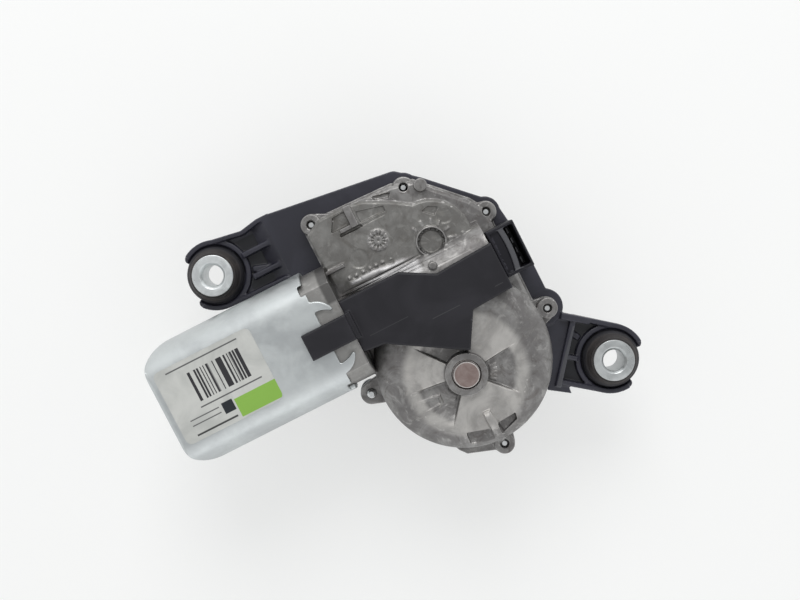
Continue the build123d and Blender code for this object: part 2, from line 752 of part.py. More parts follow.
def sector_rod():
    """Rod with an eye for the crank pin and a toothed sector round its pivot."""
    first = pivot_bearing + 180
    spread = 17.0
    middle = first - rod_on_link / 2
    half = -rod_on_link / 2 + spread
    # a sector gap faces the pinion at rest
    outline = gear_outline(sector_teeth, sector_module, sector_top, sector_root, sector_backlash)
    teeth = Rot(0, 0, first + 180 / sector_teeth) * plan(outline)
    teeth = teeth & wedge(2 * sector_r, middle - half, middle + half)
    arm = make_hull((Circle(rod_width / 2 + 1.2) + Pos(rod_length, 0) * Circle(rod_width / 2 - 0.8)).edges())
    arm = Rot(0, 0, rod_bearing) * arm
    eye = Rot(0, 0, rod_bearing) * Pos(rod_length, 0) * Circle(crank_pin_r + rod_eye)
    rod = slab(teeth + arm + eye + Circle(pivot_pin_r + rod_eye + 0.6), rod_low, rod_high)
    rod = Pos(pivot_at.X, pivot_at.Y) * rod
    rod -= disc(pivot_pin_r + running, 0, 40, pivot_at.X, pivot_at.Y)
    return rod - disc(crank_pin_r + running, 0, 40, crank_at.X, crank_at.Y)


# ---- spindle ----
def output_spindle():
    """Output spindle: inner journal, pinion teeth, long journal, taper for the arm and thread."""
    outline = gear_outline(pinion_teeth, sector_module, sector_top, sector_root, sector_backlash, points=4)
    teeth = Rot(0, 0, pivot_bearing) * plan(outline)
    pinion = slab(teeth, link_high + 0.3, rod_high + 0.4)
    profile = [(0, spindle_end), (thread_r - 0.6, spindle_end), (thread_r, spindle_end + 0.6),
               (thread_r, thread_start), (thread_r + 0.2, thread_start), (spindle_r, taper_start),
               (spindle_r, rod_high + 2), (journal_r, rod_high + 2), (journal_r, journal_top),
               (0, journal_top)]
    return revolve(Plane.XZ * plan(profile), Axis.Z) + pinion


def rear_spindle_bush():
    """Sintered bush in the casting for the spindle's inner end."""
    return ring(journal_r + bush_wall, journal_r + running, rod_high + 3.2, journal_top - 0.4)


def front_spindle_bush():
    """Sintered bush in the bracket's tube."""
    return ring(spindle_r + bush_wall, spindle_r + running, tube_end + 0.6, floor_z - 0.6)


def spindle_washer():
    """Thrust washer at the tube's mouth."""
    return ring(tube_r - 1.5, spindle_r, tube_end - gap - clip_thick, tube_end - gap)


def spindle_circlip():
    """Circlip below the thrust washer."""
    top = tube_end - gap - clip_thick
    return ring(spindle_r + 1.8, spindle_r, top - clip_thick, top) - slab(wedge(20, -20, 20), -40, 0)


def tailgate_seal():
    """Rubber ring round the tube's collar, shown squeezed level with the panel."""
    return ring(collar_r + seal_width, collar_r, 0.0, 4.0)


# ---- bracket ----
def fork(centre, opens, half_open):
    """Forked end of an arm: a web that grips the grommet inside a raised wall."""
    x, y = centre.X, centre.Y
    end = ring(fork_r, grommet_neck_r, web_low, web_high)
    end += ring(fork_r, fork_r - fork_wall, fork_low, fork_top)
    end -= slab(wedge(40, opens - half_open, opens + half_open), 0, 30)
    for side in (1, -1):
        tip = polar((fork_r + grommet_neck_r + 0.6) / 2, opens + side * half_open)
        end += disc((fork_r - grommet_neck_r - 0.6) / 2, web_low - 1.2, web_high + 1.2, tip.X, tip.Y)
    lip = disc(fork_r - fork_wall, web_high, 30) + disc(fork_r - fork_wall, 0, web_low)
    return Pos(x, y) * (end - lip)


def fork_clearance(centre, opens, half_open):
    """Space inside a fork, kept free of the arm."""
    x, y = centre.X, centre.Y
    cut = disc(grommet_neck_r, 0, 30)
    cut += disc(fork_r - fork_wall, web_high, 30) + disc(fork_r - fork_wall, 0, web_low)
    cut += slab(wedge(40, opens - half_open, opens + half_open) & Circle(fork_r + 2), 0, 30)
    return Pos(x, y) * cut


left_arm_right_x = -60.0
left_arm_low_y = left_mount.Y - fork_r - 0.8
left_arm_high_y = left_mount.Y + fork_r - fork_wall


def left_arm():
    """Wide arm with three pockets, their floors rising to the plate."""
    x, y = left_mount.X, left_mount.Y
    outline = [(x, y + fork_r), (-74.5, left_arm_high_y - 1.4), (-66.0, left_arm_high_y),
               (left_arm_right_x, left_arm_high_y), (left_arm_right_x, left_arm_low_y), (x, y - fork_r)]
    body = slab(plan(outline), web_low, web_high)
    walls = plan(outline) - offset(plan(outline), -2.0, kind=Kind.INTERSECTION)
    body += slab(walls, arm_low, plate_z)
    for rib_y in (-8.8, 2.2):
        body += box(x + fork_r - 1, left_arm_right_x, y + rib_y - 1.2, y + rib_y + 1.2, arm_low, plate_z - 1.2)
    ramp = plan([(-71.0, web_high - 0.2), (-63.0, plate_z), (left_arm_right_x, plate_z),
                 (left_arm_right_x, web_low), (-71.0, web_low)])
    frame = Plane(origin=(0, left_arm_low_y + 0.1, 0), x_dir=(1, 0, 0), z_dir=(0, -1, 0))
    body += extrude(frame * ramp, -(left_arm_high_y - left_arm_low_y - 0.3))
    fall = plan([(x - 30, fork_top), (x + 2, fork_top), (-66.0, plate_z), (-66.0, plate_z + 9), (x - 30, plate_z + 9)])
    body -= extrude(Plane(origin=(0, y - 30, 0), x_dir=(1, 0, 0), z_dir=(0, -1, 0)) * fall, -60)
    body -= fork_clearance(left_mount, left_fork_opens, left_fork_half)
    return body + fork(left_mount, left_fork_opens, left_fork_half)


def right_arm():
    """Narrow arm along the mounting line: side walls, a cross wall, a lug, a wedge and a foot."""
    frame = Plane(origin=(right_mount.X, right_mount.Y, 0), x_dir=(mount_line.X, mount_line.Y, 0),
                  z_dir=(0, 0, 1))
    root_u, cross_u, edge_v = -45.0, -21.4, fork_r
    arm = box(cross_u, 0, -edge_v, edge_v, web_low, web_high)
    arm += box(root_u, cross_u, -edge_v - 1.2, edge_v, plate_low, plate_z - 1.4)
    for side in (1, -1):
        inner, outer = sorted((side * edge_v, side * (edge_v - fork_wall)))
        arm += box(cross_u, 0, inner, outer, arm_low, plate_z)
    arm += box(cross_u, -fork_r + 1, -4.2, -2.2, web_high - 1, plate_z)
    fall = plan([(cross_u, plate_z), (-2, fork_top), (30, fork_top), (30, plate_z + 9), (cross_u, plate_z + 9)])
    arm -= extrude(Plane(origin=(0, -30, 0), x_dir=(1, 0, 0), z_dir=(0, -1, 0)) * fall, -60)
    arm += box(cross_u - 1.3, cross_u + 1.3, -edge_v - 1.2, edge_v - 3.6, arm_low, plate_z + 0.8)
    wedge_side = Plane(origin=(0, edge_v, 0), x_dir=(1, 0, 0), z_dir=(0, 1, 0))
    wedge_face = plan([(-27.5, -(plate_z + 2.6)), (-24.0, -(plate_z + 2.6)), (-13.6, -plate_z + 1.0),
                       (-13.6, -plate_low), (-27.5, -plate_low)])
    arm += extrude(wedge_side * wedge_face, -3.0)
    lug = plan([(-26.0, 0.3 - edge_v), (-25.5, -edge_v - 3.8), (-14.4, -edge_v - 3.0), (-17.0, 0.7 - edge_v)])
    arm += slab(lug, plate_low, plate_z - 1.4)
    arm = frame.location * arm
    arm -= fork_clearance(right_mount, right_fork_opens, right_fork_half)
    return arm + fork(right_mount, right_fork_opens, right_fork_half)


plate_corners = [(-61.0, left_arm_low_y), (-61.0, 44.5), (-0.5, 35.9), (9.2, 27.8), (29.4, 7.8),
                 (34.6, 1.2), (37.2, -17.7), (37.3, -57.0), (0.0, -57.5), (-46.9, -57.5),
                 (-46.9, left_arm_low_y)]
boss_low = 6.6
ear_margins = [2.6, 2.6, 2.6, 3.8, 0.6, 0.6]     # bracket outside each ear of the casting


def bracket_plate():
    """Plate under the housing with the gear recess and screw bosses."""
    outline = plan(plate_corners)
    corner = outline.vertices().sort_by_distance((-0.5, 35.9, 0))[0]
    outline = fillet(corner, 4)
    base = outline + Pos(wheel_x, wheel_y) * Circle(drum_r - 0.6) + plan(flange_lip)
    base -= Pos(-71.9, worm_y) * Rectangle(50, 56)
    for (x, y), margin in zip(ears, ear_margins):
        base += Pos(x, y) * Circle(ear_r + margin)
    neck_x, neck_y = ears[-1]
    base += Pos(neck_x + 5, neck_y - 0.4) * Rectangle(10, 2 * ear_r)
    plate = slab(base, plate_low, plate_z)
    plate -= slab(footprint(-rim_margin), floor_z, plate_z + 1)
    for (x, y), margin in zip(ears, ear_margins):
        plate += disc(ear_r + min(margin, 1.4), boss_low, plate_low, x, y)
    return plate


def bracket_ribs():
    """Ribs on the underside from the spindle tube to both arms and along the plate."""
    ribs = []
    for target in (left_mount, right_mount, Vector(20.0, 12.0), wheel_at):
        bearing = degrees(atan2(target.Y, target.X))
        reach = hypot(target.X, target.Y) - fork_r - 1
        ribs.append(Rot(0, 0, bearing) * box(collar_r - 1, max(reach, collar_r + 4), -1.2, 1.2,
                                             arm_low + 0.6, plate_low + 0.5))
    reach = mount_half - fork_r
    cross = Rot(0, 0, mount_turn) * box(50.3 - reach, reach - 24.3, -1.2, 1.2, arm_low + 0.6, plate_low + 0.5)
    ribs.append(Pos(mount_foot.X, mount_foot.Y) * cross)
    return ribs


def mounting_bracket():
    """Black moulding that carries everything: plate, two forked arms, spindle tube and bosses."""
    bracket = bracket_plate() + left_arm() + right_arm()
    for rib in bracket_ribs():
        bracket += rib
    bracket -= slab(footprint(), plate_z, ear_top)
    bracket -= along_x(Circle(can_half_width + 0.6), can_end_x - 1, bulkhead_x + bulkhead)
    bracket += disc(collar_r, 0, floor_z)
    bracket += disc(tube_r, tube_end, floor_z)
    bracket -= disc(spindle_r + bush_wall, tube_end - 1, floor_z + 1)
    bracket -= ring(collar_r + seal_width + 0.2, collar_r, -2, 4.2)
    for x, y in ears:
        bracket -= disc(screw_r + 0.4, 0, plate_z + 1, x, y)
        bracket -= disc(screw_head_r + 0.8, 0, boss_low, x, y)
    return bracket


def mounting_sleeve(centre):
    """Flanged steel sleeve: tube, wide top flange and countersunk mouth."""
    tube = sleeve_bore_r + sleeve_wall
    profile = [(sleeve_bore_r, 0), (tube, 0), (tube, sleeve_length - sleeve_flange),
               (sleeve_flange_r, sleeve_length - sleeve_flange), (sleeve_flange_r, sleeve_length),
               (sleeve_bore_r + sleeve_mouth, sleeve_length),
               (sleeve_bore_r, sleeve_length - sleeve_mouth)]
    return Pos(centre.X, centre.Y) * revolve(Plane.XZ * plan(profile), Axis.Z)


def rubber_grommet(centre):
    """Grommet with a groove for the fork and soft lips above and below."""
    tube = sleeve_bore_r + sleeve_wall
    top = sleeve_length - sleeve_flange
    profile = [(tube, 1.2), (grommet_r - 1.4, 1.2), (grommet_r, 2.6), (grommet_r, web_low),
               (grommet_neck_r, web_low), (grommet_neck_r, web_high), (grommet_r, web_high),
               (grommet_r, fork_top + 0.4), (sleeve_flange_r + 0.9, top), (tube, top)]
    return Pos(centre.X, centre.Y) * revolve(Plane.XZ * plan(profile), Axis.Z)


def housing_screws():
    """Six thread-forming screws from the bracket side; their tips show in the ears."""
    profile = [(0, boss_low - screw_head), (screw_head_r - 1.2, boss_low - screw_head),
               (screw_head_r - 0.8, boss_low - 0.9), (screw_head_r, boss_low - 0.9),
               (screw_head_r, boss_low), (screw_r, boss_low), (screw_r, ear_top - 2.2),
               (screw_r - 0.9, ear_top - 0.9), (0, ear_top - 0.9)]
    screw = revolve(Plane.XZ * plan(profile), Axis.Z)
    return [Pos(x, y) * screw for x, y in ears]


# ---- wiring cover and connector ----
cover_corners = [(-49.2, -4.8), (-18.6, -5.1), (-4.4, -13.0), (5.6, -12.4), (21.8, -11.6),
                 (22.0, -32.8), (2.6, -33.8), (-6.2, -48.8), (-37.4, -29.8), (-49.2, -28.6)]
block_x = (-67.2, -46.6)
block_y = (-22.2, -10.4)


def wiring_cover():
    """Cover over the worm tunnel with the lead channel, and a block that reaches over the can."""
    outline = plan(cover_corners)
    cover = slab(outline, shoulder_top, cover_top)
    cover = chamfer(cover.faces().sort_by(Axis.Z)[-1].edges(), 0.6)
    hollow = offset(outline, -cover_wall, kind=Kind.INTERSECTION)
    cover -= slab(hollow, shoulder_top - 1, cover_top - cover_wall)
    top = axis_z + can_half_height + gap
    block = box(*block_x, *block_y, top, block_top)
    block += box(can_mouth_x + 10.5, block_x[1] + 2, *block_y, cover_top - 4, block_top - 2.4)
    block = chamfer(block.edges().group_by(Axis.Z)[-1], 0.6)
    cover += block
    cover -= slab(offset(plan(pocket_corners), -1.6, kind=Kind.INTERSECTION), 0, shoulder_top)
    cover -= slab(raised_plan(), 0, pocket_top)
    cover -= tunnel()
    cover -= drum()
    cover -= along_x(can_section(0), can_end_x, bulkhead_x + bulkhead)
    return cover


socket_x = (22.0, 34.8)
socket_y = (-28.7, -7.1)
slot_x = (29.4, 33.8)


def connector_socket():
    """Upright plug socket beside the cover: a land, a curved key bar, a deep slot and a leg."""
    body = box(*socket_x, *socket_y, socket_floor - 2.5, socket_top)
    body = chamfer(body.edges().group_by(Axis.Z)[-1], 0.4)
    low_y = socket_y[0] + socket_wall
    high_y = socket_y[1] - socket_wall
    body -= box(socket_x[0] + 1.2, slot_x[1], low_y, high_y, socket_top - 1.4, socket_top + 1)
    body -= box(*slot_x, low_y, high_y, socket_floor, socket_top + 1)
    top, middle, bottom = (29.4, high_y), (29.9, -16.8), (28.7, low_y)
    bow = ThreePointArc(top, middle, bottom) + Line(bottom, (bottom[0] - 2.4, bottom[1]))
    bow += ThreePointArc((bottom[0] - 2.4, bottom[1]), (middle[0] - 2.4, middle[1]), (top[0] - 2.4, top[1]))
    body += slab(make_face(bow + Line((top[0] - 2.4, top[1]), top)), socket_floor - 1, socket_top - 0.3)
    body += box(30.2, socket_x[1], *socket_y, plate_z, socket_floor)
    body -= slab(offset(plan(pocket_corners), -1.6, kind=Kind.INTERSECTION), 0, shoulder_top)
    return body - slab(footprint(), 0, flange_z)


def connector_terminals():
    """Tinned blades standing on the slot's floor."""
    room = socket_y[1] - socket_y[0] - 2 * socket_wall
    x = (slot_x[0] + slot_x[1]) / 2 + 0.2
    blades = []
    for i in range(terminal_count):
        y = socket_y[0] + socket_wall + room * (i + 0.5) / terminal_count
        blades.append(box(x - 0.3, x + 0.3, y - 1.2, y + 1.2, socket_floor, socket_floor + 4.0))
    return blades


def park_contact_fingers():
    """Sprung brass fingers from the cover down to the wheel's contact ring."""
    track_z = axis_z + web_thick / 2 + disc_thick + gap
    fingers = []
    for reach in (17.5, 25.0):
        y = wheel_y + reach
        stem = box(wheel_x - 3.0, wheel_x - 2.5, y - 1.2, y + 1.2, track_z, cover_top - cover_wall)
        toe = box(wheel_x - 3.0, wheel_x + 2.5, y - 1.2, y + 1.2, track_z, track_z + 0.5)
        fingers.append(stem + toe)
    return fingers


nodes = {
    "motor_can": motor_can,
    "field_magnets": field_magnets,
    "armature_shaft": armature_shaft,
    "lamination_stack": lamination_stack,
    "armature_windings": armature_windings,
    "commutator": commutator,
    "rear_bearing": rear_bearing,
    "bearing_retainer": bearing_retainer,
    "brush_holder": brush_holder,
    "carbon_brushes": carbon_brushes,
    "brush_springs": brush_springs,
    "gear_housing": gear_housing,
    "housing_gasket": housing_gasket,
    "front_bearing": front_bearing,
    "worm_end_bush": worm_end_bush,
    "thrust_button": thrust_button,
    "worm_wheel": worm_wheel,
    "crank_pin": crank_pin,
    "park_contact_disc": park_contact_disc,
    "wheel_axle": wheel_axle,
    "axle_circlip": axle_circlip,
    "link_plate": link_plate,
    "sector_pivot_pin": sector_pivot_pin,
    "sector_rod": sector_rod,
    "output_spindle": output_spindle,
    "rear_spindle_bush": rear_spindle_bush,
    "front_spindle_bush": front_spindle_bush,
    "spindle_washer": spindle_washer,
    "spindle_circlip": spindle_circlip,
    "tailgate_seal": tailgate_seal,
    "mounting_bracket": mounting_bracket,
    "left_sleeve": lambda: mounting_sleeve(left_mount),
    "right_sleeve": lambda: mounting_sleeve(right_mount),
    "left_grommet": lambda: rubber_grommet(left_mount),
    "right_grommet": lambda: rubber_grommet(right_mount),
    "housing_screws": housing_screws,
    "wiring_cover": wiring_cover,
    "connector_socket": connector_socket,
    "connector_terminals": connector_terminals,
    "park_contact_fingers": park_contact_fingers,
}


def write_nodes():
    """Build every node and write one STEP file for each."""
    os.makedirs("parts", exist_ok=True)
    for name, make in nodes.items():
        made = make()
        if isinstance(made, list):
            made = Compound(children=[solid for piece in made for solid in piece.solids()])
        export_step(made, f"parts/{name}.step")


print(f"sleeves at ({left_mount.X:.2f}, {left_mount.Y:.2f}) and ({right_mount.X:.2f}, {right_mount.Y:.2f})")
print(f"sector pivot at ({pivot_at.X:.3f}, {pivot_at.Y:.3f}), wheel centre ({wheel_x}, {wheel_y})")
print(f"spindle turns {wipe_angle:.2f} degrees, link {link_swing:.2f}, rod on link {rod_on_link:.2f}")
write_nodes()
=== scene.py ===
"""Looks of a rear wiper gear motor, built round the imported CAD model."""
import json
from math import cos, pi, radians, sin

import bmesh
import bpy
import numpy as np
from mathutils import Matrix, Vector


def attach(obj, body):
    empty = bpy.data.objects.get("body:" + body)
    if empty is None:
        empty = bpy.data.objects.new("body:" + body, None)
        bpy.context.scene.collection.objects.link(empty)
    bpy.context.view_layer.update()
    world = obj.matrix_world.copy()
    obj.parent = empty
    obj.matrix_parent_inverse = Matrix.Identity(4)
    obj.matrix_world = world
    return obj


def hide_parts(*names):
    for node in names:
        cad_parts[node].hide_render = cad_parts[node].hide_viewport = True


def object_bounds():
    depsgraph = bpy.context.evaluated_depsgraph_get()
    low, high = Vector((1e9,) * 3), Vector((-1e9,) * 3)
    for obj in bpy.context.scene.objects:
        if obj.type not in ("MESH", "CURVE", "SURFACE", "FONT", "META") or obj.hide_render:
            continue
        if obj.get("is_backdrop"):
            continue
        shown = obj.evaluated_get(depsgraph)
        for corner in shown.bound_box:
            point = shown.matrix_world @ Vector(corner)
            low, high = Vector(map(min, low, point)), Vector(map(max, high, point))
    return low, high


bl_info = {
    "name": "Rear wiper gear motor",
    "version": (1, 0, 0),
    "blender": (4, 5, 0),
    "location": "3D View > Sidebar > Wiper Motor",
    "description": "Finishes and small forms of a rear wiper gear motor",
    "category": "Object",
}

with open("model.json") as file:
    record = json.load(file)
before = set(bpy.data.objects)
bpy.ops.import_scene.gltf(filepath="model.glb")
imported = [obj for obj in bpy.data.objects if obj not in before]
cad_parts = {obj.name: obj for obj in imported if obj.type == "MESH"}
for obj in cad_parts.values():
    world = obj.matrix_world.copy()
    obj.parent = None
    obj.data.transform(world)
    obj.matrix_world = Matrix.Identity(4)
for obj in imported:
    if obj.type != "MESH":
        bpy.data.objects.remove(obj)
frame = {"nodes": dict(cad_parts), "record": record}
nodes = frame["nodes"]
MM = 0.001

# ---- places taken over from the CAD, millimetres ----
LEFT_MOUNT = (-94.15, 30.61)
RIGHT_MOUNT = (49.82, -85.56)
BOSS = (-12.4, -57.6)              # boss and axle beside the drum's middle
AXLE_RIM = 5.1                     # radius where the axle end's bevel starts
DRUM_TOP = 38.0
CAN_TOP = 46.5
SLEEVE_TOP = 17.5
CAN_AXIS = (-14.4, 26.5)           # Y and Z of the armature's axis
CAN_RADIUS, CAN_FLAT = 28.35, 20.0
POCKET_TOP = 34.0
LABEL = (-131.4, -85.6, -30.6, 3.4)
# Painted shade: the bracket's arms are painted darker below the height on the next line.
ARM_PAINTED_SHADE_TOP = 7.8             # the bracket's arms are darker below this height

# ---- forms that only this file has, millimetres ----
RIDGE_FOOT = ((-46.6, -39.9, -29.1, -19.4, -14.2, -11.4, -8.6, -4.8, 1.9, 22.0),
              (0.0, 0.2, 0.9, -0.6, -2.0, -5.3, -8.8, -10.5, -10.8, -10.7))
RIDGE_TOP = ((-48.3, -20.4, -14.6, -6.0, 22.0), (-4.1, -5.0, -7.4, -12.2, -12.0))
ROSETTE = (-20.2, 10.9)
STUD = (-4.3, -9.2)
RIB_LINE = (-12.0, -77.0, -10.7, -94.3)

# ---- view and light, metres unless said otherwise ----
VIEW_TURN = 27.01                  # degrees between the part's X axis and the picture's
VIEW_FROM = (-11.23, 6.36, 474.09)                # millimetres
VIEW_CENTRE = (401.41, 240.11)     # pixel straight below the camera
PICTURE = (800, 600)               # pixels
SENSOR = 36                        # millimetres
KEY_SIZE, FILL_SIZE = 0.8, 1.2
FILL_SHARE = 0.32                  # of the key lamp's power
TABLE_HALF = 6.0
TABLE_GLOW = 0.42                  # how much of the table's own white the camera sees


# ---- small tools ----
class Finish:
    """Node tree of one material. Patterns are read from Object coordinates, in metres."""

    def __init__(self, name, colour, roughness, metallic=0.0, **sockets):
        self.material = bpy.data.materials.new(name)
        self.material.use_nodes = True
        self.tree = self.material.node_tree
        self.shader = self.tree.nodes["Principled BSDF"]
        self.place = self.tree.nodes.new("ShaderNodeTexCoord").outputs["Object"]
        self.shader.inputs["Base Color"].default_value = (*colour, 1)
        self.shader.inputs["Roughness"].default_value = roughness
        self.shader.inputs["Metallic"].default_value = metallic
        for socket, value in sockets.items():
            self.shader.inputs[socket.replace("_", " ")].default_value = value

    def node(self, kind, inputs=None, **settings):
        """New node; inputs maps socket names or numbers to values or to other sockets."""
        made = self.tree.nodes.new("ShaderNode" + kind)
        for key, value in settings.items():
            setattr(made, key, value)
        for key, value in (inputs or {}).items():
            if isinstance(value, bpy.types.NodeSocket):
                self.tree.links.new(value, made.inputs[key])
            else:
                made.inputs[key].default_value = value
        return made

    def mapped(self, scale=(1, 1, 1), turn=0.0, at=(0, 0, 0)):
        """Object coordinates turned about Z and stretched."""
        return self.node("Mapping", {"Vector": self.place, "Location": at, "Rotation": (0, 0, turn),
                                     "Scale": scale}).outputs[0]

    def noise(self, scale, detail=4.0, rough=0.55, warp=0.0, place=None):
        """Cloudy pattern, 0 to 1; scale is in repeats per metre."""
        return self.node("TexNoise", {"Vector": place or self.place, "Scale": scale, "Detail": detail,
                                      "Roughness": rough, "Distortion": warp}).outputs["Fac"]

    def distance(self, centre):
        """Distance from an upright axis through a place given in millimetres; the result is in metres."""
        away = self.node("VectorMath", {0: self.place, 1: (centre[0] * MM, centre[1] * MM, 0)},
                         operation="SUBTRACT").outputs[0]
        flat = self.node("VectorMath", {0: away, 1: (1, 1, 0)}, operation="MULTIPLY").outputs[0]
        return self.node("VectorMath", {0: flat}, operation="LENGTH").outputs["Value"]

    def axis(self, number, place=None):
        """X, Y or Z of the object coordinates, or of a turned copy of them, in metres."""
        return self.node("SeparateXYZ", {0: place or self.place}).outputs[number]

    def inside(self, number, low, high, edge=0.08, place=None):
        """1 between two limits in millimetres along an axis, 0 outside them."""
        value = self.axis(number, place)
        rise = self.spread(value, (low - edge) * MM, (low + edge) * MM)
        fall = self.spread(value, (high - edge) * MM, (high + edge) * MM, 1.0, 0.0)
        return self.product(rise, fall)

    def spread(self, value, low, high, to_low=0.0, to_high=1.0):
        """Value from low..high stretched to to_low..to_high, smooth and clamped."""
        return self.node("MapRange", {0: value, 1: low, 2: high, 3: to_low, 4: to_high},
                         interpolation_type="SMOOTHSTEP").outputs[0]

    def edges(self, low, high):
        """0 on flat places, 1 where the surface bends outwards, or inwards if high is below low."""
        bend = self.node("NewGeometry").outputs["Pointiness"]
        return self.node("MapRange", {0: bend, 1: low, 2: high}).outputs[0]

    def math(self, operation, a, b):
        """One arithmetic step."""
        return self.node("Math", {0: a, 1: b}, operation=operation).outputs[0]

    def product(self, first, *others):
        """Shares multiplied by one another."""
        for share in others:
            first = self.math("MULTIPLY", first, share)
        return first

    def mix(self, share, a, b):
        """Colour b laid over colour a by share."""
        made = self.node("Mix", data_type="RGBA")
        for name, value in (("Factor_Float", share), ("A_Color", a), ("B_Color", b)):
            socket = next(s for s in made.inputs if s.identifier == name)
            if isinstance(value, bpy.types.NodeSocket):
                self.tree.links.new(value, socket)
            else:
                socket.default_value = value if isinstance(value, float) else (*value, 1)
        return next(s for s in made.outputs if s.identifier == "Result_Color")

    def bump(self, height, depth, strength):
        """Normal from a height pattern; depth is the height of 1, in metres."""
        return self.node("Bump", {"Height": height, "Distance": depth, "Strength": strength}).outputs[0]

    def set(self, **sockets):
        """Link sockets to the shader's inputs."""
        for name, socket in sockets.items():
            self.tree.links.new(socket, self.shader.inputs[name.replace("_", " ")])
        return self


def new_piece(name, mesh, body, finish, smooth=True):
    """Object for a finished mesh, riding on a body."""
    piece = bpy.data.objects.new(name, mesh)
    bpy.context.scene.collection.objects.link(piece)
    mesh.materials.clear()
    mesh.materials.append(finish)
    mesh.shade_smooth() if smooth else mesh.shade_flat()
    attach(piece, body)
    return piece


def grid_mesh(name, points, close_u=False, close_v=False):
    """Quads over an array of points [u, v, xyz] in millimetres; a direction may close on itself."""
    rows, columns = points.shape[:2]
    index = np.arange(rows * columns).reshape(rows, columns)
    u_next = np.roll(index, -1, 0) if close_u else index[1:]
    lower = index if close_u else index[:-1]
    if close_v:
        quads = np.stack([lower, np.roll(lower, -1, 1), np.roll(u_next, -1, 1), u_next], -1)
    else:
        quads = np.stack([lower[:, :-1], lower[:, 1:], u_next[:, 1:], u_next[:, :-1]], -1)
    mesh = bpy.data.meshes.new(name)
    mesh.from_pydata((points.reshape(-1, 3) * MM).tolist(), [], quads.reshape(-1, 4).tolist())
    return mesh


def rounded(points, radius, steps=5):
    """Closed outline with each corner replaced by a curve that starts radius before the corner."""
    corners = np.array(points, float)
    before, after = np.roll(corners, 1, 0), np.roll(corners, -1, 0)
    outline = []
    for corner, last, following in zip(corners, before, after):
        ends = []
        for other in (last, following):
            step = other - corner
            length = np.hypot(*step)
            ends.append(corner + step / length * min(radius, 0.48 * length))
        for t in np.linspace(0, 1, steps):
            outline.append((1 - t) ** 2 * ends[0] + 2 * t * (1 - t) * corner + t * t * ends[1])
    return np.array(outline)


def ring_mesh(name, outline, centre, segments=144):
    """Closed outline of (radius, height) turned round an upright axis; it runs anticlockwise."""
    turn = np.linspace(0, 2 * pi, segments, endpoint=False)
    points = np.empty((segments, len(outline), 3))
    points[..., 0] = centre[0] + np.cos(turn)[:, None] * outline[:, 0]
    points[..., 1] = centre[1] + np.sin(turn)[:, None] * outline[:, 0]
    points[..., 2] = outline[:, 1]
    return grid_mesh(name, points, True, True)


def capped_mesh(name, points):
    """Rings of points [u, v, xyz], closed round v, with a flat face over the first and the last ring."""
    mesh = grid_mesh(name, points, False, True)
    work = bmesh.new()
    work.from_mesh(mesh)
    bmesh.ops.contextual_create(work, geom=[e for e in work.edges if e.is_boundary])
    bmesh.ops.recalc_face_normals(work, faces=work.faces)
    work.to_mesh(mesh)
    work.free()
    return mesh


def merged_copy(node):
    """Editable copy of a CAD node with its doubled points merged."""
    work = bmesh.new()
    work.from_mesh(nodes[node].data)
    bmesh.ops.remove_doubles(work, verts=work.verts, dist=2e-6)
    return work


def softened(node, voxel, passes, triangles):
    """Copy of a CAD node with its edges rounded: rebuilt on a voxel grid, relaxed, then thinned."""
    mesh = nodes[node].data.copy()
    work = merged_copy(node)
    work.to_mesh(mesh)
    work.free()
    shape = bpy.data.objects.new(node + "_work", mesh)
    bpy.context.scene.collection.objects.link(shape)
    remesh = shape.modifiers.new("voxels", "REMESH")
    remesh.mode = "VOXEL"
    remesh.voxel_size = voxel * MM
    relax = shape.modifiers.new("relax", "SMOOTH")
    relax.factor = 0.5
    relax.iterations = passes
    count = len(shape.evaluated_get(bpy.context.evaluated_depsgraph_get()).data.polygons) * 2
    if count > triangles:
        thin = shape.modifiers.new("thin", "DECIMATE")
        thin.ratio = triangles / count
    made = bpy.data.meshes.new_from_object(shape.evaluated_get(bpy.context.evaluated_depsgraph_get()))
    bpy.data.objects.remove(shape)
    return made


def reshape(mesh, rule):
    """Move a mesh's points by a rule that works on an array of places in millimetres."""
    places = np.empty(len(mesh.vertices) * 3)
    mesh.vertices.foreach_get("co", places)
    mesh.vertices.foreach_set("co", (rule(places.reshape(-1, 3) / MM) * MM).ravel())
    mesh.update()
    return mesh


def smooth_step(value, low, high):
    """0 below low, 1 above high, and an S-curve between them."""
    t = np.clip((value - low) / (high - low), 0, 1)
    return t * t * (3 - 2 * t)


# ---- finishes ----
def zinc_can_finish():
    """Zinc-plated drawn steel: cool silver, cloudy, faint draw lines along the can."""
    f = Finish("zinc_plated_can", (0.58, 0.60, 0.605), 0.42, 0.88)
    clouds = f.noise(55, 5, 0.6, 0.4)
    lines = f.noise(60, 4, 0.6, place=f.mapped((0.06, 1, 1)))
    spangle = f.noise(420, 2, 0.5)
    tone = f.mix(f.spread(clouds, 0.35, 0.68), (0.52, 0.54, 0.545), (0.62, 0.645, 0.645))
    tone = f.mix(f.spread(lines, 0.42, 0.7, 0.0, 0.35), tone, (0.66, 0.68, 0.67))
    stain = f.spread(f.noise(28, 6, 0.7, 1.0, f.mapped(at=(0.3, 0.1, 0))), 0.60, 0.72, 0.0, 0.35)
    tone = f.mix(stain, tone, (0.40, 0.40, 0.39))
    rough = f.math("ADD", f.spread(clouds, 0.3, 0.7, 0.37, 0.47), f.spread(spangle, 0.3, 0.7, -0.02, 0.05))
    height = f.math("ADD", f.product(lines, 0.5), f.product(spangle, 0.35))
    return f.set(Base_Color=tone, Roughness=rough, Normal=f.bump(height, 0.00006, 0.35)).material


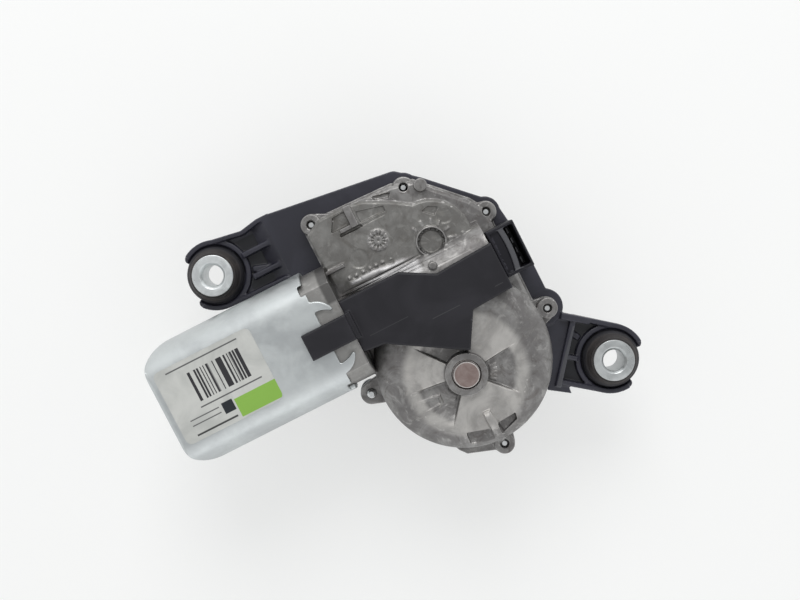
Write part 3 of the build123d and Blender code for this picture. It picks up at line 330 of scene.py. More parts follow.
def casting_finish():
    """Die-cast alloy: warm grey skin with burnished pale patches, dark flow marks and fine grain, and over it
    the places of casting_places, among them painted highlight and painted shade.
    """
    f = Finish("die_cast_alloy", (0.22, 0.205, 0.19), 0.5, 0.75)
    flow = f.noise(48, 7, 0.62, 1.6)
    patches = f.noise(95, 5, 0.6, 2.2, f.mapped(at=(0.7, 0.2, 0.1)))
    grain = f.noise(1400, 3, 0.6)
    speck = f.noise(420, 3, 0.55)
    stains = f.noise(62, 6, 0.7, 2.8, f.mapped(at=(0.31, 0.07, 0.0)))
    tone = f.mix(f.spread(flow, 0.38, 0.66), (0.195, 0.187, 0.184), (0.32, 0.312, 0.305))
    tone = f.mix(f.spread(patches, 0.54, 0.66, 0.0, 0.6), tone, (0.43, 0.42, 0.405))
    tone = f.mix(f.spread(patches, 0.43, 0.30, 0.0, 0.6), tone, (0.125, 0.116, 0.108))
    tone = f.mix(f.spread(stains, 0.56, 0.66, 0.0, 0.55), tone, (0.135, 0.120, 0.112))
    tone = f.mix(f.spread(stains, 0.42, 0.34, 0.0, 0.4), tone, (0.40, 0.385, 0.355))
    tone = f.mix(f.spread(speck, 0.30, 0.62, 0.25, 0.0), tone, (0.13, 0.12, 0.115))
    for share, strength, colour in casting_places(f, flow):
        tone = f.mix(f.product(share, strength), tone, colour)
    rough = f.math("ADD", f.spread(patches, 0.3, 0.72, 0.58, 0.36), f.spread(grain, 0.3, 0.7, -0.04, 0.05))
    height = f.math("ADD", f.product(grain, 0.45), f.product(speck, 0.6))
    return f.set(Base_Color=tone, Roughness=rough, Normal=f.bump(height, 0.00012, 0.45)).material


def casting_places(f, flow):
    """Places of the casting that differ in tone: (share, strength, colour), in the order they are laid on.
    The shaded neck, the inner wall of the toothed ring and inward corners are painted shade, the ridge's
    crest is painted highlight, and outward edges are wear and painted highlight.
    """
    pocket = f.product(f.inside(2, POCKET_TOP - 1.4, POCKET_TOP + 0.25, 0.3),
                       f.spread(f.axis(1), -12.0 * MM, -9.0 * MM))
    neck = f.product(f.inside(0, -60.0, -47.6, 0.3), f.spread(f.axis(2), 30 * MM, 40 * MM))
    shaded_neck = f.product(f.inside(0, -51.2, -46.5, 0.7), f.inside(1, -4.0, 13.0, 0.8))
    # Painted highlight: a pale band along the crest of the ridge beside the cover, where the worm tunnel's
    # flank catches the light.
    painted_crest_highlight = f.product(f.inside(0, -45.5, -9.0, 1.2), f.inside(1, -9.5, 0.5, 0.6),
                      f.inside(2, POCKET_TOP + 0.7, POCKET_TOP + 5.8, 0.5))
    from_spindle = f.distance((0, 0))
    # Painted shade: a dark ring on the inner wall of the toothed ring round the spindle.
    groove = f.product(f.spread(from_spindle, 4.9 * MM, 5.2 * MM),
                       f.spread(from_spindle, 5.9 * MM, 6.2 * MM, 1.0, 0.0),
                       f.inside(2, POCKET_TOP - 2.0, POCKET_TOP + 2.0))
    reach = f.distance(BOSS)
    petals = f.product(f.spread(f.axis(2), (DRUM_TOP - 1.2) * MM, (DRUM_TOP - 0.5) * MM),
                       f.spread(reach, 25.0 * MM, 29.0 * MM, 1.0, 0.0),
                       f.spread(reach, 9.5 * MM, 10.2 * MM),
                       f.spread(flow, 0.25, 0.60, 0.35, 0.85))
    # Outward edges painted paler, as wear and as painted highlight; inward corners painted darker, as painted
    # shade.
    edge_wear_and_highlight, painted_corner_shade = f.edges(0.52, 0.62), f.edges(0.485, 0.41)
    return ((pocket, 0.40, (0.165, 0.162, 0.145)),
            (neck, 0.45, (0.47, 0.46, 0.44)),
            (shaded_neck, 0.8, (0.085, 0.082, 0.080)),
            (painted_crest_highlight, 0.85, (0.54, 0.53, 0.53)),
            (groove, 0.75, (0.045, 0.043, 0.042)),
            (petals, 1.0, (0.56, 0.54, 0.515)),
            (edge_wear_and_highlight, 0.75, (0.62, 0.60, 0.585)),
            (painted_corner_shade, 0.8, (0.06, 0.055, 0.052)))


def moulding_finish(name, colour, roughness, gloss=0.26, marks=()):
    """Glass-filled black plastic: fine grain, faint flow clouds, slightly glossy high spots, and edges that
    bend outwards painted paler, as wear and as painted highlight. Marks are boxes (x0, x1, y0, y1, z0, z1,
    colour, turn) in millimetres painted lighter or darker, as painted highlight and painted shade; their X
    and Y are taken after a turn in radians about Z."""
    f = Finish(name, colour, roughness, 0.0, Specular_IOR_Level=gloss)
    clouds = f.noise(40, 4, 0.55, 0.8)
    grain = f.noise(2600, 3, 0.6)
    lighter = tuple(c * 1.5 + 0.002 for c in colour)
    tone = f.mix(f.spread(clouds, 0.40, 0.70, 0.0, 0.7), colour, lighter)
    # Each mark is painted light or shade: a box of tone laid over the moulding.
    for x0, x1, y0, y1, z0, z1, shade, turn in marks:
        turned = f.mapped(turn=turn)
        painted_light_box = f.product(f.inside(0, x0, x1, place=turned), f.inside(1, y0, y1, place=turned),
                        f.inside(2, z0, z1))
        tone = f.mix(painted_light_box, tone, shade)
    # Outward edges painted paler, as wear and as painted highlight.
    worn_and_highlit = tuple(c * 3.2 + 0.02 for c in colour)
    tone = f.mix(f.product(f.edges(0.52, 0.62), 0.6), tone, worn_and_highlit)
    rough = f.math("ADD", f.spread(clouds, 0.3, 0.7, roughness - 0.05, roughness + 0.06),
                   f.spread(grain, 0.3, 0.7, -0.05, 0.05))
    return f.set(Base_Color=tone, Roughness=rough, Normal=f.bump(grain, 0.00005, 0.35)).material


def label_finish():
    """Silvery foil label, bare of words: stripes, a green block, a dark block and thin grey rules."""
    f = Finish("foil_label", (0.58, 0.58, 0.55), 0.42, 0.35)
    clouds = f.noise(70, 5, 0.6, 0.8)
    tone = f.mix(f.spread(clouds, 0.35, 0.7), (0.53, 0.535, 0.51), (0.64, 0.64, 0.61))
    bar = f.math("FLOOR", f.product(f.axis(0), 2300.0), 0.0)
    chance = f.node("TexWhiteNoise", {"W": bar}, noise_dimensions="1D").outputs["Value"]
    stripes = f.product(f.inside(0, -118.0, -93.6), f.inside(1, -15.9, -2.6), f.spread(chance, 0.44, 0.50))
    tone = f.mix(stripes, tone, (0.035, 0.034, 0.038))
    for x0, x1, y0, y1, colour in ((-105.0, -85.6, -29.8, -21.4, (0.275, 0.50, 0.085)),
                                   (-110.8, -105.8, -25.6, -20.6, (0.022, 0.026, 0.032)),
                                   (-126.0, -92.2, 0.7, 1.3, (0.12, 0.12, 0.12)),
                                   (-119.0, -90.0, -18.5, -17.9, (0.12, 0.12, 0.12)),
                                   (-125.8, -112.2, -21.8, -21.3, (0.14, 0.14, 0.14)),
                                   (-125.8, -112.2, -24.2, -23.7, (0.14, 0.14, 0.14)),
                                   (-125.8, -106.5, -28.7, -27.9, (0.06, 0.06, 0.06))):
        tone = f.mix(f.product(f.inside(0, x0, x1), f.inside(1, y0, y1)), tone, colour)
    wrinkle = f.noise(240, 3, 0.5, 0.8)
    return f.set(Base_Color=tone, Roughness=f.spread(clouds, 0.3, 0.7, 0.36, 0.48),
                 Normal=f.bump(wrinkle, 0.00012, 0.3)).material


def rubber_finish():
    """Matt black-brown rubber with bloom, darker away from the sleeves."""
    f = Finish("grommet_rubber", (0.032, 0.025, 0.023), 0.7)
    clouds = f.noise(110, 5, 0.65)
    grain = f.noise(1800, 3)
    tone = f.mix(f.spread(clouds, 0.45, 0.72, 0.0, 0.8), (0.028, 0.024, 0.024), (0.070, 0.058, 0.054))
    reach = f.math("MINIMUM", f.distance(LEFT_MOUNT), f.distance(RIGHT_MOUNT))
    tone = f.mix(f.spread(reach, 11.2 * MM, 12.6 * MM), tone, (0.017, 0.0165, 0.021))
    return f.set(Base_Color=tone, Roughness=f.spread(clouds, 0.3, 0.7, 0.62, 0.85),
                 Normal=f.bump(grain, 0.00006, 0.5)).material


def turned_zinc_finish(name, centre, light=1.0):
    """Bright zinc on a turned face: fine rings round the bore, pale stains; light scales its tone, as painted
    light and shade: one sleeve is painted lighter and the other darker.
    """
    f = Finish(name, (0.72, 0.74, 0.75), 0.32, 0.9)
    radius = f.distance(centre)
    rings = f.noise(2200, 2, 0.6, place=f.node("CombineXYZ", {0: radius}).outputs[0])
    clouds = f.noise(190, 5, 0.6, 0.6)
    dull, bright = np.array([(0.62, 0.64, 0.64), (0.78, 0.80, 0.80)]) * light
    tone = f.mix(f.spread(clouds, 0.36, 0.68), tuple(dull), tuple(bright))
    tone = f.mix(f.spread(rings, 0.35, 0.65, 0.35, 0.0), tone, tuple(dull * 0.8))
    rough = f.math("ADD", f.spread(clouds, 0.3, 0.7, 0.26, 0.40), f.spread(rings, 0.3, 0.7, 0.06, -0.02))
    return f.set(Base_Color=tone, Roughness=rough, Normal=f.bump(rings, 0.00005, 0.4)).material


def plain_metal_finish(name, colour, roughness):
    """Machined or rolled metal with cloudy wear and fine grain."""
    f = Finish(name, colour, roughness, 1.0)
    clouds = f.noise(150, 5, 0.6, 0.5)
    grain = f.noise(900, 3)
    darker = tuple(c * 0.75 for c in colour)
    tone = f.mix(f.spread(clouds, 0.35, 0.68), darker, colour)
    rough = f.spread(clouds, 0.3, 0.7, roughness + 0.08, roughness - 0.05)
    return f.set(Base_Color=tone, Roughness=rough, Normal=f.bump(grain, 0.00004, 0.4)).material


def plain_matt_finish(name, colour, roughness, dark=0.7):
    """Matt moulded, sintered or pressed body with clouds and grain; dark scales its darker tone."""
    f = Finish(name, colour, roughness)
    clouds = f.noise(120, 4, 0.6)
    grain = f.noise(600, 3)
    darker = tuple(c * dark for c in colour)
    tone = f.mix(f.spread(clouds, 0.32, 0.7), darker, colour)
    rough = f.spread(grain, 0.3, 0.7, roughness - 0.06, roughness + 0.08)
    return f.set(Base_Color=tone, Roughness=rough, Normal=f.bump(grain, 0.00005, 0.4)).material


def axle_finish():
    """Ground axle end, browned, with a bright bevelled rim."""
    f = Finish("browned_axle", (0.235, 0.175, 0.165), 0.42, 0.85)
    radius = f.distance(BOSS)
    clouds = f.noise(260, 5, 0.6, 0.6)
    tone = f.mix(f.spread(clouds, 0.34, 0.7), (0.26, 0.195, 0.18), (0.36, 0.285, 0.265))
    tone = f.mix(f.spread(radius, AXLE_RIM * MM, (AXLE_RIM + 0.2) * MM), tone, (0.62, 0.58, 0.56))
    grain = f.noise(1500, 3)
    return f.set(Base_Color=tone, Roughness=f.spread(clouds, 0.3, 0.7, 0.48, 0.36),
                 Normal=f.bump(grain, 0.00005, 0.35)).material


FINISHES = {}


def make_finishes():
    """Create every finish once, by the name of the record's material slot or of the piece."""
    FINISHES.update({
        "zinc_can": zinc_can_finish(),
        "casting": casting_finish(),
        "bracket": moulding_finish("bracket_moulding", (0.0235, 0.0230, 0.0330), 0.38, 0.5, [
            # Painted shade: the bracket's arm pockets are painted darker below the set height.
            (-82, -48, -12, 40, 0, ARM_PAINTED_SHADE_TOP, (0.008, 0.008, 0.012), 0),
            (20, 50, -100, -48, 0, ARM_PAINTED_SHADE_TOP, (0.008, 0.008, 0.012), 0),
            # Painted highlight: a paler band on the right arm's slanted rib, where its top face catches the
            # light.
            (-49.8, -20.9, -74.6, -72.4, 8.6, 20, (0.060, 0.060, 0.068), radians(-48.6))]),
        "cover": moulding_finish("cover_moulding", (0.0150, 0.0142, 0.0178), 0.46, 0.3, [
            # Painted highlight: thin pale lines on the cover where it has low ridges.
            (-41.5, -23.3, -23.9, -23.6, 43, 45, (0.035, 0.035, 0.038), 0),
            (-14.5, -1.4, -29.5, -29.2, 43, 45, (0.045, 0.045, 0.048), 0),
            (15.2, 19.0, -29.2, -28.9, 43, 45, (0.045, 0.045, 0.048), 0)]),
        "socket": moulding_finish("socket_moulding", (0.0110, 0.0105, 0.0145), 0.44, 0.26, [
            # Painted highlight: the top of the socket's curved bar is painted paler.
            (26.2, 30.2, -27.4, -8.4, 39.2, 41, (0.085, 0.085, 0.092), 0)]),
        "label": label_finish(),
        "terminal_tin": plain_metal_finish("tarnished_tin", (0.16, 0.16, 0.17), 0.45),
        "brush_holder": moulding_finish("brush_plate_moulding", (0.03, 0.022, 0.018), 0.5),
        "black_rubber": rubber_finish(),
        # Painted light and shade: the left sleeve's zinc is painted 1.15 times lighter and the right one's
        # 0.85 times darker.
        "left_sleeve": turned_zinc_finish("left_turned_zinc_painted_lit", LEFT_MOUNT, 1.15),
        "right_sleeve": turned_zinc_finish("right_turned_zinc_painted_shaded", RIGHT_MOUNT, 0.85),
        "bright_zinc": plain_metal_finish("screw_zinc", (0.86, 0.87, 0.87), 0.3),
        "steel": plain_metal_finish("ground_steel", (0.50, 0.49, 0.48), 0.34),
        "axle_steel": axle_finish(),
        "core_iron": plain_metal_finish("punched_core", (0.20, 0.20, 0.21), 0.5),
        "copper": plain_metal_finish("enamelled_copper", (0.60, 0.26, 0.13), 0.34),
        "bronze": plain_metal_finish("oiled_bronze", (0.42, 0.27, 0.13), 0.5),
        "brass_strip": plain_metal_finish("rolled_brass", (0.66, 0.50, 0.22), 0.3),
        "ferrite": plain_matt_finish("dark_ferrite", (0.035, 0.035, 0.038), 0.7),
        "carbon": plain_matt_finish("brush_carbon", (0.022, 0.022, 0.022), 0.6),
        "white_plastic": plain_matt_finish("natural_acetal", (0.68, 0.65, 0.58), 0.38, dark=0.92),
    })


def dress_nodes():
    """Give every CAD node its finish: its own, or else its material slot's."""
    slots = {row["node"]: row["material_slot"] for row in frame["record"]["subparts"]}
    own = {"mounting_bracket": "bracket", "wiring_cover": "cover", "connector_socket": "socket",
           "connector_terminals": "terminal_tin", "brush_holder": "brush_holder",
           "left_sleeve": "left_sleeve", "right_sleeve": "right_sleeve"}
    for name, node in nodes.items():
        node.data.materials.clear()
        node.data.materials.append(FINISHES[own.get(name, slots[name])])


# ---- pieces ----
class Sizes(bpy.types.PropertyGroup):
    """Sizes and settings that a user would change."""

    voxel: bpy.props.FloatProperty(name="Casting detail", description="Grid of the softened castings",
                                   default=0.32 * MM, min=0.2 * MM, unit="LENGTH")
    lens: bpy.props.FloatProperty(name="Lens", description="Focal length on a 36 mm sensor",
                                  default=45.77, min=10.0)
    lamp: bpy.props.FloatProperty(name="Key lamp", description="Power of the key lamp in watts",
                                  default=8.1, min=0.0)


class WIPER_OT_finishes(bpy.types.Operator):
    """Make the finishes and dress the CAD nodes in them"""

    bl_idname = "wiper.finishes"
    bl_label = "Finishes"

    def execute(self, context):
        make_finishes()
        dress_nodes()
        return {"FINISHED"}


class WIPER_OT_can(bpy.types.Operator):
    """Round the drawn can's edges and lay the label on its flat"""

    bl_idname = "wiper.can"
    bl_label = "Motor can and label"

    def execute(self, context):
        mesh = reshape(softened("motor_can", 0.35, 2, 130000), soft_shoulders)
        can = new_piece("drawn_can", mesh, "motor_unit", FINISHES["zinc_can"])
        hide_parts("motor_can")
        new_piece("can_label", label_mesh(), "motor_unit", FINISHES["label"], False)
        return {"FINISHED"}


def soft_shoulders(points, blend=5.0):
    """Outside of the can drawn in to a soft join of its round sides and its flats: the smooth maximum of
    the distances from the circle and from the flats is zero on the new surface."""
    across, up = points[:, 1] - CAN_AXIS[0], points[:, 2] - CAN_AXIS[1]
    radius = np.hypot(across, up)
    from_circle, from_flat = radius - CAN_RADIUS, np.abs(up) - CAN_FLAT
    overlap = np.clip(1 - np.abs(from_circle - from_flat) / blend, 0, 1)
    depth = np.maximum(from_circle, from_flat) + overlap ** 2 * blend / 4
    share = np.where(from_circle > from_flat, 1 - overlap / 2, overlap / 2)
    slope_y = share * across / radius
    slope_z = share * up / radius + (1 - share) * np.sign(up)
    outside = np.maximum(from_circle, from_flat) > -0.9
    step = np.where(outside & (depth > 0), depth, 0) / (slope_y ** 2 + slope_z ** 2)
    moved = points.copy()
    moved[:, 1] -= step * slope_y
    moved[:, 2] -= step * slope_z
    return moved


def label_mesh():
    """Thin plate with rounded corners, its sides sunk a little into the can."""
    x0, x1, y0, y1 = LABEL
    outline = rounded([(x0, y0), (x1, y0), (x1, y1), (x0, y1)], 3.2, 7)
    rings = np.empty((2, len(outline), 3))
    rings[..., :2] = outline
    rings[0, :, 2] = CAN_TOP - 0.1
    rings[1, :, 2] = CAN_TOP + 0.12
    return capped_mesh("can_label", rings)


class WIPER_OT_housing(bpy.types.Operator):
    """Soften the die-cast housing's edges as casting leaves them"""

    bl_idname = "wiper.housing"
    bl_label = "Housing casting"

    def execute(self, context):
        sizes = context.scene.wiper_sizes
        mesh = softened("gear_housing", sizes.voxel / MM, 2, 195000)
        mesh = reshape(reshape(mesh, pocket_relief), drum_relief)
        piece = new_piece("housing_casting", mesh, "motor_unit", FINISHES["casting"])
        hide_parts("gear_housing")
        return {"FINISHED"}


def pocket_relief(points):
    """Pocket beside the cover. Left of the ring its floor gets new heights over X and Y: flat, with a
    rounded ridge that climbs to the cover between two bent lines, the toothed ring, its ticks, a low stud
    and a deep notch. Elsewhere only a rosette of thirteen petals is added, as a sine of the angle."""
    x, y, z = points.T
    foot, top = np.interp(x, *RIDGE_FOOT), np.interp(x, *RIDGE_TOP)
    t = np.clip((foot - y) / (foot - top), 0, 1)
    peak = 36.2 + 3.3 * smooth_step(-top, 5.0, 12.0)
    floor = POCKET_TOP + (peak - POCKET_TOP) * np.sqrt(1 - (1 - t) ** 2)
    radius, turn = np.hypot(x, y), np.degrees(np.arctan2(y, x))
    rim = smooth_step(radius, 5.9, 6.15) * smooth_step(-radius, -6.85, -6.6)
    from_tooth = np.abs((turn + 18) % 36 - 18) * radius
    tooth = smooth_step(-from_tooth, -38.0, -20.0) * (radius > 5.1) * (radius < 6.3)
    from_tick = np.minimum(np.abs(turn - 12), np.abs(turn + 15)) * radius
    tick = (radius > 7.5) * (radius < 9.9) * (from_tick < 26)
    stud = smooth_step(-np.hypot(x - STUD[0], y - STUD[1]), -1.9, -1.5)
    well = smooth_step(-radius, -5.1, -4.8)
    floor += np.maximum(rim * 1.3, tooth) + tick * 0.5 + stud * 1.2 - well
    surface = z > np.where(radius < 7.2, 32.9, 33.6)
    beside_cover = surface & (y > top - 0.3) & (y < 1.0) & (x > -46.2) & (x < 21.7)
    left = smooth_step(-x, 9.5, 12.0)
    notch = (x > -49.4) & (x < -42.6) & (y > -6.0) & (y < 0.4) & (z > 30.5)
    out = np.hypot(x - ROSETTE[0], y - ROSETTE[1])
    petal = np.sin(np.arctan2(y - ROSETTE[1], x - ROSETTE[0]) * 13)
    rosette = petal * (out > 1.9) * (out < 4.3) * (z > 33.8)
    moved = points.copy()
    moved[:, 2] = np.where(beside_cover, left * floor + (1 - left) * z, z + 0.28 * rosette)
    moved[notch, 2] = 30.5
    return moved


def drum_relief(points):
    """Drum's recesses run out to nothing at their outer ends, and a rib stands 1.5 mm up along a line."""
    x, y, z = points.T
    reach = np.hypot(x - BOSS[0], y - BOSS[1])
    shallow = (reach < 26.8) * (z > 34.9) * smooth_step(reach, 15.0, 26.0)
    ax, ay, bx, by = RIB_LINE
    span = np.hypot(bx - ax, by - ay)
    forward = ((x - ax) * (bx - ax) + (y - ay) * (by - ay)) / span
    aside = np.abs((x - ax) * (by - ay) - (y - ay) * (bx - ax)) / span
    rib = smooth_step(forward, -0.6, 0.4) * smooth_step(-forward, -span - 0.6, -span + 0.4)
    rib *= smooth_step(-aside, -2.4, -1.7) * smooth_step(z, 24.0, 28.0)
    moved = points.copy()
    moved[:, 2] += shallow * np.clip(DRUM_TOP - z, 0, 3) + 1.5 * rib
    return moved


def closed_arm_edge(points):
    """Bracket's long edge beside the motor's neck, drawn in by up to 2.2 mm towards the can."""
    x, y = points[:, 0], points[:, 1]
    along = smooth_step(x, -66.0, -61.0) * smooth_step(-x, 46.6, 48.0)
    moved = points.copy()
    moved[:, 1] -= 2.2 * along * (y > 12.6) * smooth_step(-y, -20.0, -14.5)
    return moved


class WIPER_OT_mouldings(bpy.types.Operator):
    """Round the edges of the bracket, the wiring cover and the plug socket"""

    bl_idname = "wiper.mouldings"
    bl_label = "Black mouldings"

    def execute(self, context):
        for node, name, finish, voxel, triangles in (
                ("mounting_bracket", "bracket_moulding", "bracket", 0.42, 190000),
                ("wiring_cover", "cover_moulding", "cover", 0.35, 90000),
                ("connector_socket", "socket_moulding", "socket", 0.28, 60000)):
            mesh = softened(node, voxel, 2, triangles)
            if finish == "bracket":
                mesh = reshape(mesh, closed_arm_edge)
            piece = new_piece(name, mesh, "motor_unit", FINISHES[finish])
            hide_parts(node)
        return {"FINISHED"}


class WIPER_OT_mountings(bpy.types.Operator):
    """Turn the two steel sleeves and their rubber grommets"""

    bl_idname = "wiper.mountings"
    bl_label = "Sleeves and grommets"

    def execute(self, context):
        for side, centre in (("left", LEFT_MOUNT), ("right", RIGHT_MOUNT)):
            sleeve = new_piece(side + "_turned_sleeve", sleeve_mesh(centre), "motor_unit",
                               FINISHES[side + "_sleeve"])
            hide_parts(side + "_sleeve")
            grommet = new_piece(side + "_soft_grommet", grommet_mesh(centre), "motor_unit",
                                FINISHES["black_rubber"])
            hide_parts(side + "_grommet")
        return {"FINISHED"}


def sleeve_mesh(centre):
    """Flanged tube with small rounded edges and a countersunk mouth."""
    top = SLEEVE_TOP
    outline = rounded([(4.8, 0), (6.7, 0), (6.7, top - 1.3), (9.3, top - 1.3), (9.3, top), (6.0, top),
                       (4.8, top - 1.2)], 0.28, 4)
    return ring_mesh("turned_sleeve", outline, centre)


def grommet_mesh(centre):
    """Rubber ring: groove for the fork, soft lips, and three low ridges under the flange."""
    outline = [(6.7, 1.2), (11.5, 1.2), (12.9, 2.6), (12.9, 4.9), (10.9, 4.9), (10.9, 7.5), (12.9, 7.5),
               (12.9, 10.2), (11.9, 12.2), (11.6, 12.3), (10.7, 14.6), (10.5, 14.7), (10.2, 16.2),
               (6.7, 16.2)]
    return ring_mesh("soft_grommet", rounded(outline, 0.45, 4), centre)


class WIPER_OT_spindle(bpy.types.Operator):
    """Cut the thread and the knurl on the output spindle, and shape the rubber seal"""

    bl_idname = "wiper.spindle"
    bl_label = "Spindle and seal"

    def execute(self, context):
        piece = new_piece("threaded_spindle", spindle_mesh(), "spindle", FINISHES["steel"])
        piece.data.shade_flat()
        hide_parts("output_spindle")
        outline = rounded([(11.5, 0.0), (12.3, 0.0), (12.7, 0.9), (13.1, 0.9), (13.6, 0.0), (15.0, 0.0),
                           (15.0, 4.0), (11.5, 4.0)], 0.4, 4)
        seal = new_piece("panel_seal", ring_mesh("panel_seal", outline, (0, 0)), "motor_unit",
                         FINISHES["black_rubber"])
        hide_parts("tailgate_seal")
        return {"FINISHED"}


def spindle_mesh():
    """The spindle above the taper as the CAD has it, with a new end below it: the radius follows a
    straight-sided tooth wave round the taper and a wave that climbs once a turn along the thread."""
    cut = -15.6
    work = merged_copy("output_spindle")
    split = bmesh.ops.bisect_plane(work, geom=work.verts[:] + work.edges[:] + work.faces[:],
                                   plane_co=(0, 0, cut * MM), plane_no=(0, 0, 1), clear_inner=True)
    rim = [e for e in split["geom_cut"] if isinstance(e, bmesh.types.BMEdge)]
    bmesh.ops.contextual_create(work, geom=rim)
    turn = np.linspace(0, 2 * pi, 216, endpoint=False)
    heights = np.concatenate([np.linspace(-34.0, -24.2, 118), np.linspace(-24.0, cut, 22)])
    z, angle = np.meshgrid(heights, turn, indexing="ij")
    thread = np.abs(((z / 1.25 - angle / (2 * pi)) % 1.0) * 2 - 1)
    fade = np.clip((z + 34.0) / 0.8, 0, 1) * np.clip((-24.3 - z) / 0.9, 0, 1)
    threaded = 4.0 - 0.62 * (thread * fade + (1 - np.clip((z + 34.0) / 0.7, 0, 1)))
    knurl = np.abs(((angle * 36 / (2 * pi)) % 1.0) * 2 - 1)
    taper = 4.2 + (z + 24.0) / 8.5 * 0.8 - 0.28 * knurl * np.clip((-16.2 - z) / 0.5, 0, 1)
    radius = np.where(z < -24.1, threaded, taper)
    points = np.stack([radius * np.cos(angle), radius * np.sin(angle), z], -1)
    end = capped_mesh("spindle_end", points)
    work.from_mesh(end)
    bmesh.ops.recalc_face_normals(work, faces=work.faces)
    work.to_mesh(end)
    work.free()
    return end


class WIPER_OT_stage(bpy.types.Operator):
    """Pale table, soft lamps and the camera"""

    bl_idname = "wiper.stage"
    bl_label = "Stage"

    def execute(self, context):
        sizes = context.scene.wiper_sizes
        make_camera(sizes.lens)
        make_stage(sizes.lamp)
        return {"FINISHED"}


def make_camera(lens):
    """Camera above the part: its axes come from the image point right below it and the part's turn."""
    focal = lens / SENSOR * PICTURE[0]
    below = ((VIEW_CENTRE[0] - PICTURE[0] / 2) / focal, -(VIEW_CENTRE[1] - PICTURE[1] / 2) / focal)
    up = -Vector((below[0], below[1], -1)).normalized()
    turn = radians(VIEW_TURN)
    along = Vector((cos(turn), sin(turn), 0))
    x_axis = (along - up * along.dot(up)).normalized()
    y_axis = up.cross(x_axis)
    data = bpy.data.cameras.new("camera")
    data.lens = lens
    data.sensor_width = SENSOR
    data.clip_start, data.clip_end = 0.01, 20
    camera = bpy.data.objects.new("camera", data)
    matrix = Matrix((x_axis, y_axis, up)).to_4x4()
    matrix.translation = Vector(VIEW_FROM) * MM
    camera.matrix_world = matrix
    bpy.context.scene.collection.objects.link(camera)
    bpy.context.scene.camera = camera


def area_lamp(name, power, size, at):
    """Square soft lamp aimed at the origin."""
    data = bpy.data.lights.new(name, "AREA")
    data.energy = power
    data.size = size
    lamp = bpy.data.objects.new(name, data)
    lamp.location = at
    lamp.rotation_mode = "QUATERNION"
    lamp.rotation_quaternion = (-at).to_track_quat("-Z", "Y")
    bpy.context.scene.collection.objects.link(lamp)


def make_stage(power):
    """Level table under the part's lowest point, white surround, and two soft lamps placed by the view."""
    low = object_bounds()[0].z
    mesh = bpy.data.meshes.new("table")
    corners = [(-TABLE_HALF, -TABLE_HALF, low), (TABLE_HALF, -TABLE_HALF, low),
               (TABLE_HALF, TABLE_HALF, low), (-TABLE_HALF, TABLE_HALF, low)]
    mesh.from_pydata(corners, [], [(0, 1, 2, 3)])
    table = bpy.data.objects.new("table", mesh)
    bpy.context.scene.collection.objects.link(table)
    mesh.materials.append(table_finish())
    table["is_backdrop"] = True
    view = Matrix.Rotation(radians(-VIEW_TURN), 3, "Z")
    area_lamp("key_lamp", power, KEY_SIZE, view @ Vector((-0.12, 1.05, 0.95)))
    area_lamp("fill_lamp", power * FILL_SHARE, FILL_SIZE, view @ Vector((0.4, -1.05, 0.9)))
    make_surround()
    bpy.context.scene.view_settings.view_transform = "Standard"


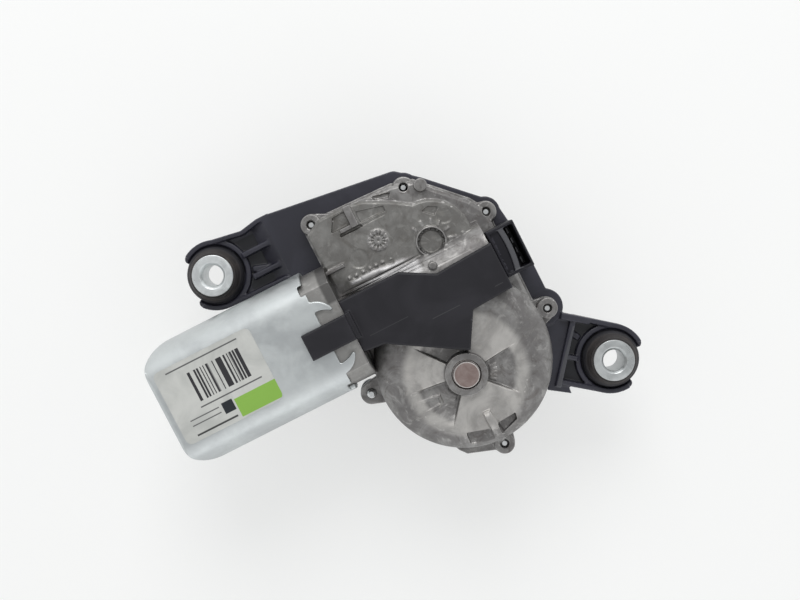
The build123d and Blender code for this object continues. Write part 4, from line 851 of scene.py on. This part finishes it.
def make_surround():
    """World that lights the part from 0.85 near the horizon to 0.58 overhead and looks white to the eye."""
    world = bpy.data.worlds.new("surround")
    world.use_nodes = True
    bpy.context.scene.world = world
    tree = world.node_tree
    background = tree.nodes["Background"]
    background.inputs["Color"].default_value = (0.93, 0.95, 0.96, 1)
    path = tree.nodes.new("ShaderNodeLightPath")
    seen = tree.nodes.new("ShaderNodeMath")
    seen.operation = "MAXIMUM"
    tree.links.new(path.outputs["Is Camera Ray"], seen.inputs[0])
    tree.links.new(path.outputs["Is Transmission Ray"], seen.inputs[1])
    place = tree.nodes.new("ShaderNodeTexCoord")
    height = tree.nodes.new("ShaderNodeSeparateXYZ")
    tree.links.new(place.outputs["Generated"], height.inputs[0])
    sky = tree.nodes.new("ShaderNodeMapRange")
    sky.interpolation_type = "SMOOTHSTEP"
    for number, value in enumerate((0.30, 0.85, 1.0, 0.58), 1):
        sky.inputs[number].default_value = value
    tree.links.new(height.outputs["Z"], sky.inputs[0])
    strength = tree.nodes.new("ShaderNodeMath")
    strength.operation = "MAXIMUM"
    tree.links.new(seen.outputs[0], strength.inputs[0])
    tree.links.new(sky.outputs[0], strength.inputs[1])
    tree.links.new(strength.outputs[0], background.inputs["Strength"])


def table_finish():
    """Matt white table that the camera sees lighter than it is, so its shadows stay soft."""
    f = Finish("table_white", (0.94, 0.94, 0.935), 0.8)
    glow = f.node("Emission", {"Color": (0.99, 0.99, 0.975, 1), "Strength": 1.0}).outputs[0]
    seen = f.product(f.node("LightPath").outputs["Is Camera Ray"], TABLE_GLOW)
    mixed = f.node("MixShader", {0: seen, 1: f.shader.outputs[0], 2: glow}).outputs[0]
    f.tree.links.new(mixed, f.tree.nodes["Material Output"].inputs["Surface"])
    return f.material


class WIPER_PT_panel(bpy.types.Panel):
    """List of the steps"""

    bl_label = "Wiper Motor"
    bl_space_type = "VIEW_3D"
    bl_region_type = "UI"
    bl_category = "Wiper Motor"

    def draw(self, context):
        for name in Sizes.__annotations__:
            self.layout.prop(context.scene.wiper_sizes, name)
        for step in OPERATORS:
            self.layout.operator(step.bl_idname)


OPERATORS = (WIPER_OT_finishes, WIPER_OT_can, WIPER_OT_housing, WIPER_OT_mouldings, WIPER_OT_mountings,
             WIPER_OT_spindle, WIPER_OT_stage)
CLASSES = (Sizes, *OPERATORS, WIPER_PT_panel)


def register():
    """Make the classes and the sizes known to Blender."""
    for cls in CLASSES:
        bpy.utils.register_class(cls)
    bpy.types.Scene.wiper_sizes = bpy.props.PointerProperty(type=Sizes)


def unregister():
    """Take the classes and the sizes out again."""
    del bpy.types.Scene.wiper_sizes
    for cls in reversed(CLASSES):
        bpy.utils.unregister_class(cls)


def main():
    """Run every step in order."""
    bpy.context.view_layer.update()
    register()
    bpy.ops.wiper.finishes()
    bpy.ops.wiper.can()
    bpy.ops.wiper.housing()
    bpy.ops.wiper.mouldings()
    bpy.ops.wiper.mountings()
    bpy.ops.wiper.spindle()
    bpy.ops.wiper.stage()


if __name__ == "__main__":
    main()
